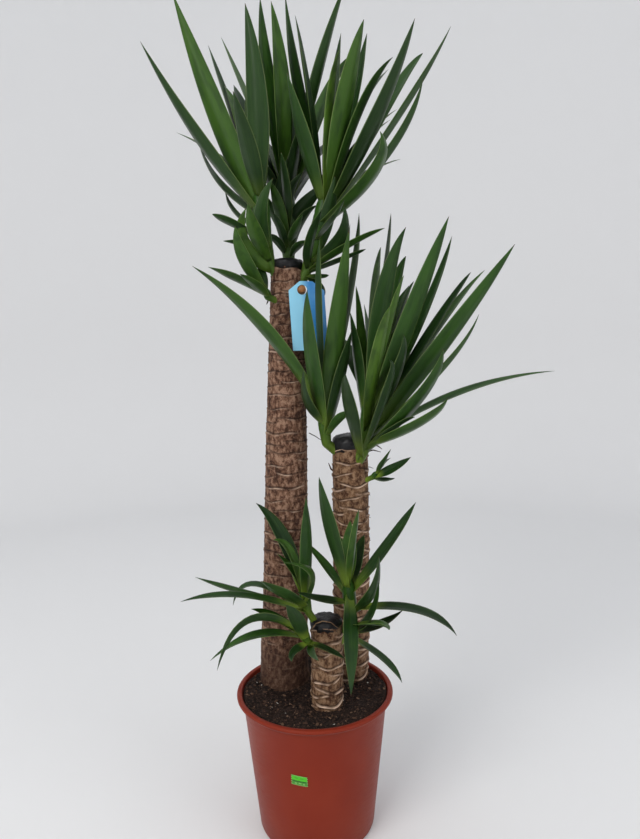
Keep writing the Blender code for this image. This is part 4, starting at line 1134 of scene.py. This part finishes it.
def build_tag(paint):
    """Thin curved tag with cut shoulders and a round hole."""
    hook = seen(*HOOK, 0.0)
    hook.z -= TAG_HOLE - STUB_RADIUS - 0.0003
    bm = bmesh.new()
    across_steps, up_steps = 48, 96
    grid = []
    for i in range(up_steps + 1):
        up = i / up_steps - 0.5
        row = []
        for j in range(across_steps + 1):
            across = j / across_steps - 0.5
            narrow = 1.0
            if up > 0.5 - 0.13:
                narrow = 1.0 - 0.65 * (up - 0.37) / 0.13
            row.append(bm.verts.new(tag_point(hook, across * narrow, up)))
        grid.append(row)
    for i in range(up_steps):
        for j in range(across_steps):
            bm.faces.new((grid[i][j], grid[i][j + 1], grid[i + 1][j + 1], grid[i + 1][j]))
    mesh = bpy.data.meshes.new("tag_sheet")
    bm.to_mesh(mesh)
    bm.free()
    tag = bpy.data.objects.new("tag_sheet", mesh)
    bpy.context.scene.collection.objects.link(tag)
    # Share across the tag, which sets its painted light and shade.
    layer = mesh.attributes.new("across", "FLOAT", "POINT")
    top = hook.z + TAG_ABOVE
    layer.data.foreach_set("value", [
        (v.co.x - hook.x - TAG_SHIFT + TAG_LEAN * ((v.co.z - top) / TAG_HEIGHT + 0.5)) / TAG_WIDTH + 0.5
        for v in mesh.vertices])
    solid = tag.modifiers.new("thick", "SOLIDIFY")
    solid.thickness = TAG_THICKNESS
    solid.offset = 0.0
    hole_bm = bmesh.new()
    bmesh.ops.create_cone(hole_bm, cap_ends=True, segments=48, radius1=TAG_HOLE, radius2=TAG_HOLE, depth=0.1)
    hole_mesh = bpy.data.meshes.new("tag_hole")
    hole_bm.to_mesh(hole_mesh)
    hole_bm.free()
    hole = bpy.data.objects.new("tag_hole", hole_mesh)
    bpy.context.scene.collection.objects.link(hole)
    hole.location = hook
    hole.rotation_euler = (math.pi / 2, 0.0, 0.0)
    boolean = tag.modifiers.new("cut", "BOOLEAN")
    boolean.operation = "DIFFERENCE"
    boolean.object = hole
    graph = bpy.context.evaluated_depsgraph_get()
    graph.update()
    baked = bpy.data.meshes.new_from_object(tag.evaluated_get(graph))
    tag.modifiers.clear()
    tag.data = baked
    bpy.data.objects.remove(hole, do_unlink=True)
    baked.shade_smooth()
    baked.set_sharp_from_angle(angle=math.radians(40))
    return dress(tag, paint, "tag_sheet", "tag")


def build_stub(paint):
    """Cut shoot stub on the front of the tall cane, where the tag hangs."""
    hook = seen(*HOOK, 0.0)
    x, y, r = axis_at(cane_axis(CANES["tall_cane"]), hook.z)
    start = Vector((x + 0.012, y, hook.z - 0.006))
    bend = Vector((hook.x, 0.014, hook.z - 0.001))
    end = Vector((hook.x, bend.y - 0.018, hook.z))
    build = Build("ridge")
    path = [start.lerp(bend, k / 6) for k in range(6)] + [bend.lerp(end, k / 6) for k in range(7)]
    radii = [STUB_RADIUS * 1.1] * 6 + [STUB_RADIUS * (1.0 - 0.08 * k / 6) for k in range(7)]
    radii[-1] *= 0.93
    build.tube(path, radii, 28, {"ridge": 0.0})
    return dress(build.piece("tag_stub"), paint, "bark")


def build_bits(paint):
    """Rootlets, nubs and dry remains on the canes and the soil."""
    build = Build("tone")
    for tone, depth, radius, places in BITS:
        path = []
        for u, v in places:
            if depth is None:
                ray = sight(u, v)
                path.append(EYE + ray * ((SOIL_TOP + 0.001 - EYE.z) / ray.z))
            else:
                path.append(seen(u, v, depth * MM))
        fine = []
        for a, b in zip(path, path[1:]):
            fine += [a.lerp(b, k / 5) for k in range(5)]
        fine.append(path[-1])
        count = len(fine) - 1
        radii = [radius * MM * (1.0 - 0.7 * (k / count) ** 2) for k in range(count + 1)]
        build.tube(fine, radii, 10, {"tone": tone})
    return dress(build.piece("cane_bits"), paint, "bark")


def build_sticker(border, bright, soft, dark):
    """Small price sticker laid round the pot's wall, bare but for plain bars."""
    ray = sight(*STICKER_PLACE)
    place = EYE.copy()
    for k in range(4000):
        place = EYE + ray * (k / 4000 * 2.0 / VIEW_SCALE)
        if math.hypot(place.x, place.y) < wall_radius(place.z):
            break
    middle = math.atan2(place.y, place.x)

    def patch(name, width, height, shift, lift, thick, notch):
        """Bent patch on the wall."""
        bm = bmesh.new()
        bmesh.ops.create_grid(bm, x_segments=24, y_segments=16, size=0.5)
        for vert in bm.verts:
            across, up = vert.co.x * width, vert.co.y * height
            if notch:
                across += 0.0009 * math.sin(vert.co.y * 26.0) * abs(vert.co.x) * 2.0 * (vert.co.x > 0)
                across += 0.0009 * math.sin(vert.co.y * 26.0) * -abs(vert.co.x) * 2.0 * (vert.co.x < 0)
            across += shift[0]
            up += shift[1]
            z = place.z + up - across * STICKER_TILT
            radius = wall_radius(z) + lift
            angle = middle + across / radius
            vert.co = Vector((radius * math.cos(angle), radius * math.sin(angle), z))
        mesh = bpy.data.meshes.new(name)
        bm.to_mesh(mesh)
        bm.free()
        made = bpy.data.objects.new(name, mesh)
        bpy.context.scene.collection.objects.link(made)
        solid = made.modifiers.new("thick", "SOLIDIFY")
        solid.thickness = thick
        solid.offset = 0.0
        graph = bpy.context.evaluated_depsgraph_get()
        graph.update()
        baked = bpy.data.meshes.new_from_object(made.evaluated_get(graph))
        made.modifiers.clear()
        made.data = baked
        return made

    lift = 0.0006 + STICKER_THICKNESS * 0.5
    label = patch("sticker_label", STICKER_WIDTH, STICKER_HEIGHT, (0.0, 0.0), lift, STICKER_THICKNESS, True)
    dress(label, border, "sticker_paper", "sticker")
    face = lift + STICKER_THICKNESS * 0.5 + 0.00003
    bars = (
        ("upper", bright, 0.0, 0.0038, 0.0246, 0.0078), ("band", dark, 0.0, -0.0011, 0.0246, 0.0018),
        ("lower", soft, 0.0, -0.0049, 0.0246, 0.0056), ("pale_a", border, -0.0060, -0.0050, 0.0030, 0.0024),
        ("pale_b", border, 0.0010, -0.0046, 0.0044, 0.0018), ("pale_c", border, 0.0075, -0.0052, 0.0026, 0.0026),
        ("shade_a", soft, -0.0050, 0.0044, 0.0050, 0.0014), ("shade_b", soft, 0.0045, 0.0044, 0.0060, 0.0014),
    )
    for name, paint, x, y, width, height in bars:
        above = 0.0 if name in ("upper", "band", "lower") else 0.00006
        bar = patch(f"sticker_{name}", width, height, (x, y), face + above, 0.00004, False)
        dress(bar, paint, "sticker_paper")
    return label


# Stage, camera and light
def build_stage():
    """Pale floor that rises all round into a plain backdrop."""
    p = Paint("stage_look")
    cloth = p.finish((0.79, 0.79, 0.795), 0.9, 0.1)
    profile = [(0.0, 0.0), (2.4, 0.0)]
    for k in range(1, 13):
        a = math.radians(90 * k / 12)
        profile.append((2.4 + 0.9 * math.sin(a), 0.9 - 0.9 * math.cos(a)))
    profile.append((3.3, 5.0))
    build = Build("kind")
    sides = 96
    rows = []
    for x, z in profile:
        x = max(x, 0.001)
        rows.append([(x * math.cos(2 * math.pi * j / sides), x * math.sin(2 * math.pi * j / sides), z - 0.0005)
                     for j in range(sides)])
    build.grid(rows, True, {"kind": [0.0] * (len(rows) * sides)})
    made = mesh_piece("stage_bowl", build.points, build.faces)
    made.data.materials.append(cloth)
    return made


def area_light(name, place, target, size, power, colour=(1.0, 1.0, 1.0)):
    """Square soft light aimed at a point."""
    data = bpy.data.lights.new(name, "AREA")
    data.size = size
    data.energy = power
    data.color = colour
    light = bpy.data.objects.new(name, data)
    bpy.context.scene.collection.objects.link(light)
    light.location = place
    light.rotation_euler = (Vector(target) - Vector(place)).to_track_quat("-Z", "Y").to_euler()
    return light


def build_lights():
    """Soft daylight from the front left, and an even sky."""
    world = bpy.data.worlds.new("sky")
    bpy.context.scene.world = world
    world.use_nodes = True
    world.node_tree.nodes["Background"].inputs[0].default_value = (0.93, 0.96, 1.0, 1.0)
    world.node_tree.nodes["Background"].inputs[1].default_value = 0.85
    area_light("key", (-1.6, -2.2, 2.6), (0.05, 0.0, 0.7), 1.8, 60.0, (1.0, 0.98, 0.95))
    area_light("fill", (2.2, -1.6, 1.6), (0.05, 0.0, 0.7), 1.6, 14.0)


def build_camera():
    """Camera at the photograph's eye point."""
    data = bpy.data.cameras.new("photo_camera")
    data.sensor_fit = "VERTICAL"
    data.sensor_height = 36.0
    data.sensor_width = 36.0
    data.lens = VIEW_SCALE / IMAGE_HEIGHT * 36.0
    data.clip_start = 0.01
    data.clip_end = 50.0
    camera = bpy.data.objects.new("photo_camera", data)
    bpy.context.scene.collection.objects.link(camera)
    forward = Vector((0.0, math.cos(VIEW_PITCH), -math.sin(VIEW_PITCH)))
    across = Vector((1.0, 0.0, 0.0))
    down = Vector((0.0, -math.sin(VIEW_PITCH), -math.cos(VIEW_PITCH)))
    right = across * math.cos(VIEW_ROLL) + down * math.sin(VIEW_ROLL)
    below = down * math.cos(VIEW_ROLL) - across * math.sin(VIEW_ROLL)
    matrix = Matrix((right, -below, -forward)).transposed().to_4x4()
    matrix.translation = EYE
    camera.matrix_world = matrix
    bpy.context.scene.camera = camera


def main():
    """Build every piece of the scene."""
    for thing in list(bpy.data.objects):
        bpy.data.objects.remove(thing, do_unlink=True)
    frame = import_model()
    build_stage()
    build_lights()
    build_camera()
    green = leaf_paint()
    for name in SHOOTS:
        build_shoot(name, frame, green)
    tall = bark_paint("tall_bark_look", (0.040, 0.017, 0.010), (0.140, 0.068, 0.040), (0.300, 0.180, 0.120),
                      (0.50, 0.36, 0.27))
    light = bark_paint("light_bark_look", (0.052, 0.022, 0.011), (0.175, 0.094, 0.050), (0.300, 0.185, 0.108),
                       (0.74, 0.54, 0.41))
    # Only the tall cane gets a smoothed foot with painted shade.
    build_cane("tall_cane", tall, 150, {"step": 0.0013, "smooth": 0.10, "broken": 1.6,
               "scars": (0.0074, 1.3, 0.0035, 0.0013, 0.0013, 1.0)})
    build_cane("medium_cane", light, 128, {"step": 0.0011, "smooth": -0.2, "broken": 0.7,
               "scars": (0.0080, 1.65, 0.0120, 0.0024, 0.0016, 1.5)})
    build_cane("short_cane", light, 120, {"step": 0.0011, "smooth": -0.2, "broken": 0.7,
               "scars": (0.0085, 1.65, 0.0095, 0.0022, 0.0016, 1.4)})
    wax = wax_paint()
    for name in ("tall", "medium", "short"):
        build_wax(f"{name}_cap", f"{name}_cane", wax)
    build_stub(plain_paint("stub_look", (0.30, 0.13, 0.045), 0.6))
    build_bits(bit_paint())
    build_pot(pot_paint())
    build_soil(soil_paint())
    feet = [(c["foot"][0], c["foot"][1], c["foot"][2] - 0.002) for c in CANES.values()]
    build_crumbs(crumb_paint(), feet)
    build_tag(tag_paint())
    build_sticker(paper_paint("border_look", (0.22, 0.46, 0.14)), paper_paint("bright_look", (0.075, 0.520, 0.020)),
                  paper_paint("middle_look", (0.060, 0.270, 0.030)), paper_paint("band_look", (0.012, 0.075, 0.012)))
    bpy.context.scene.view_settings.view_transform = "Standard"


main()
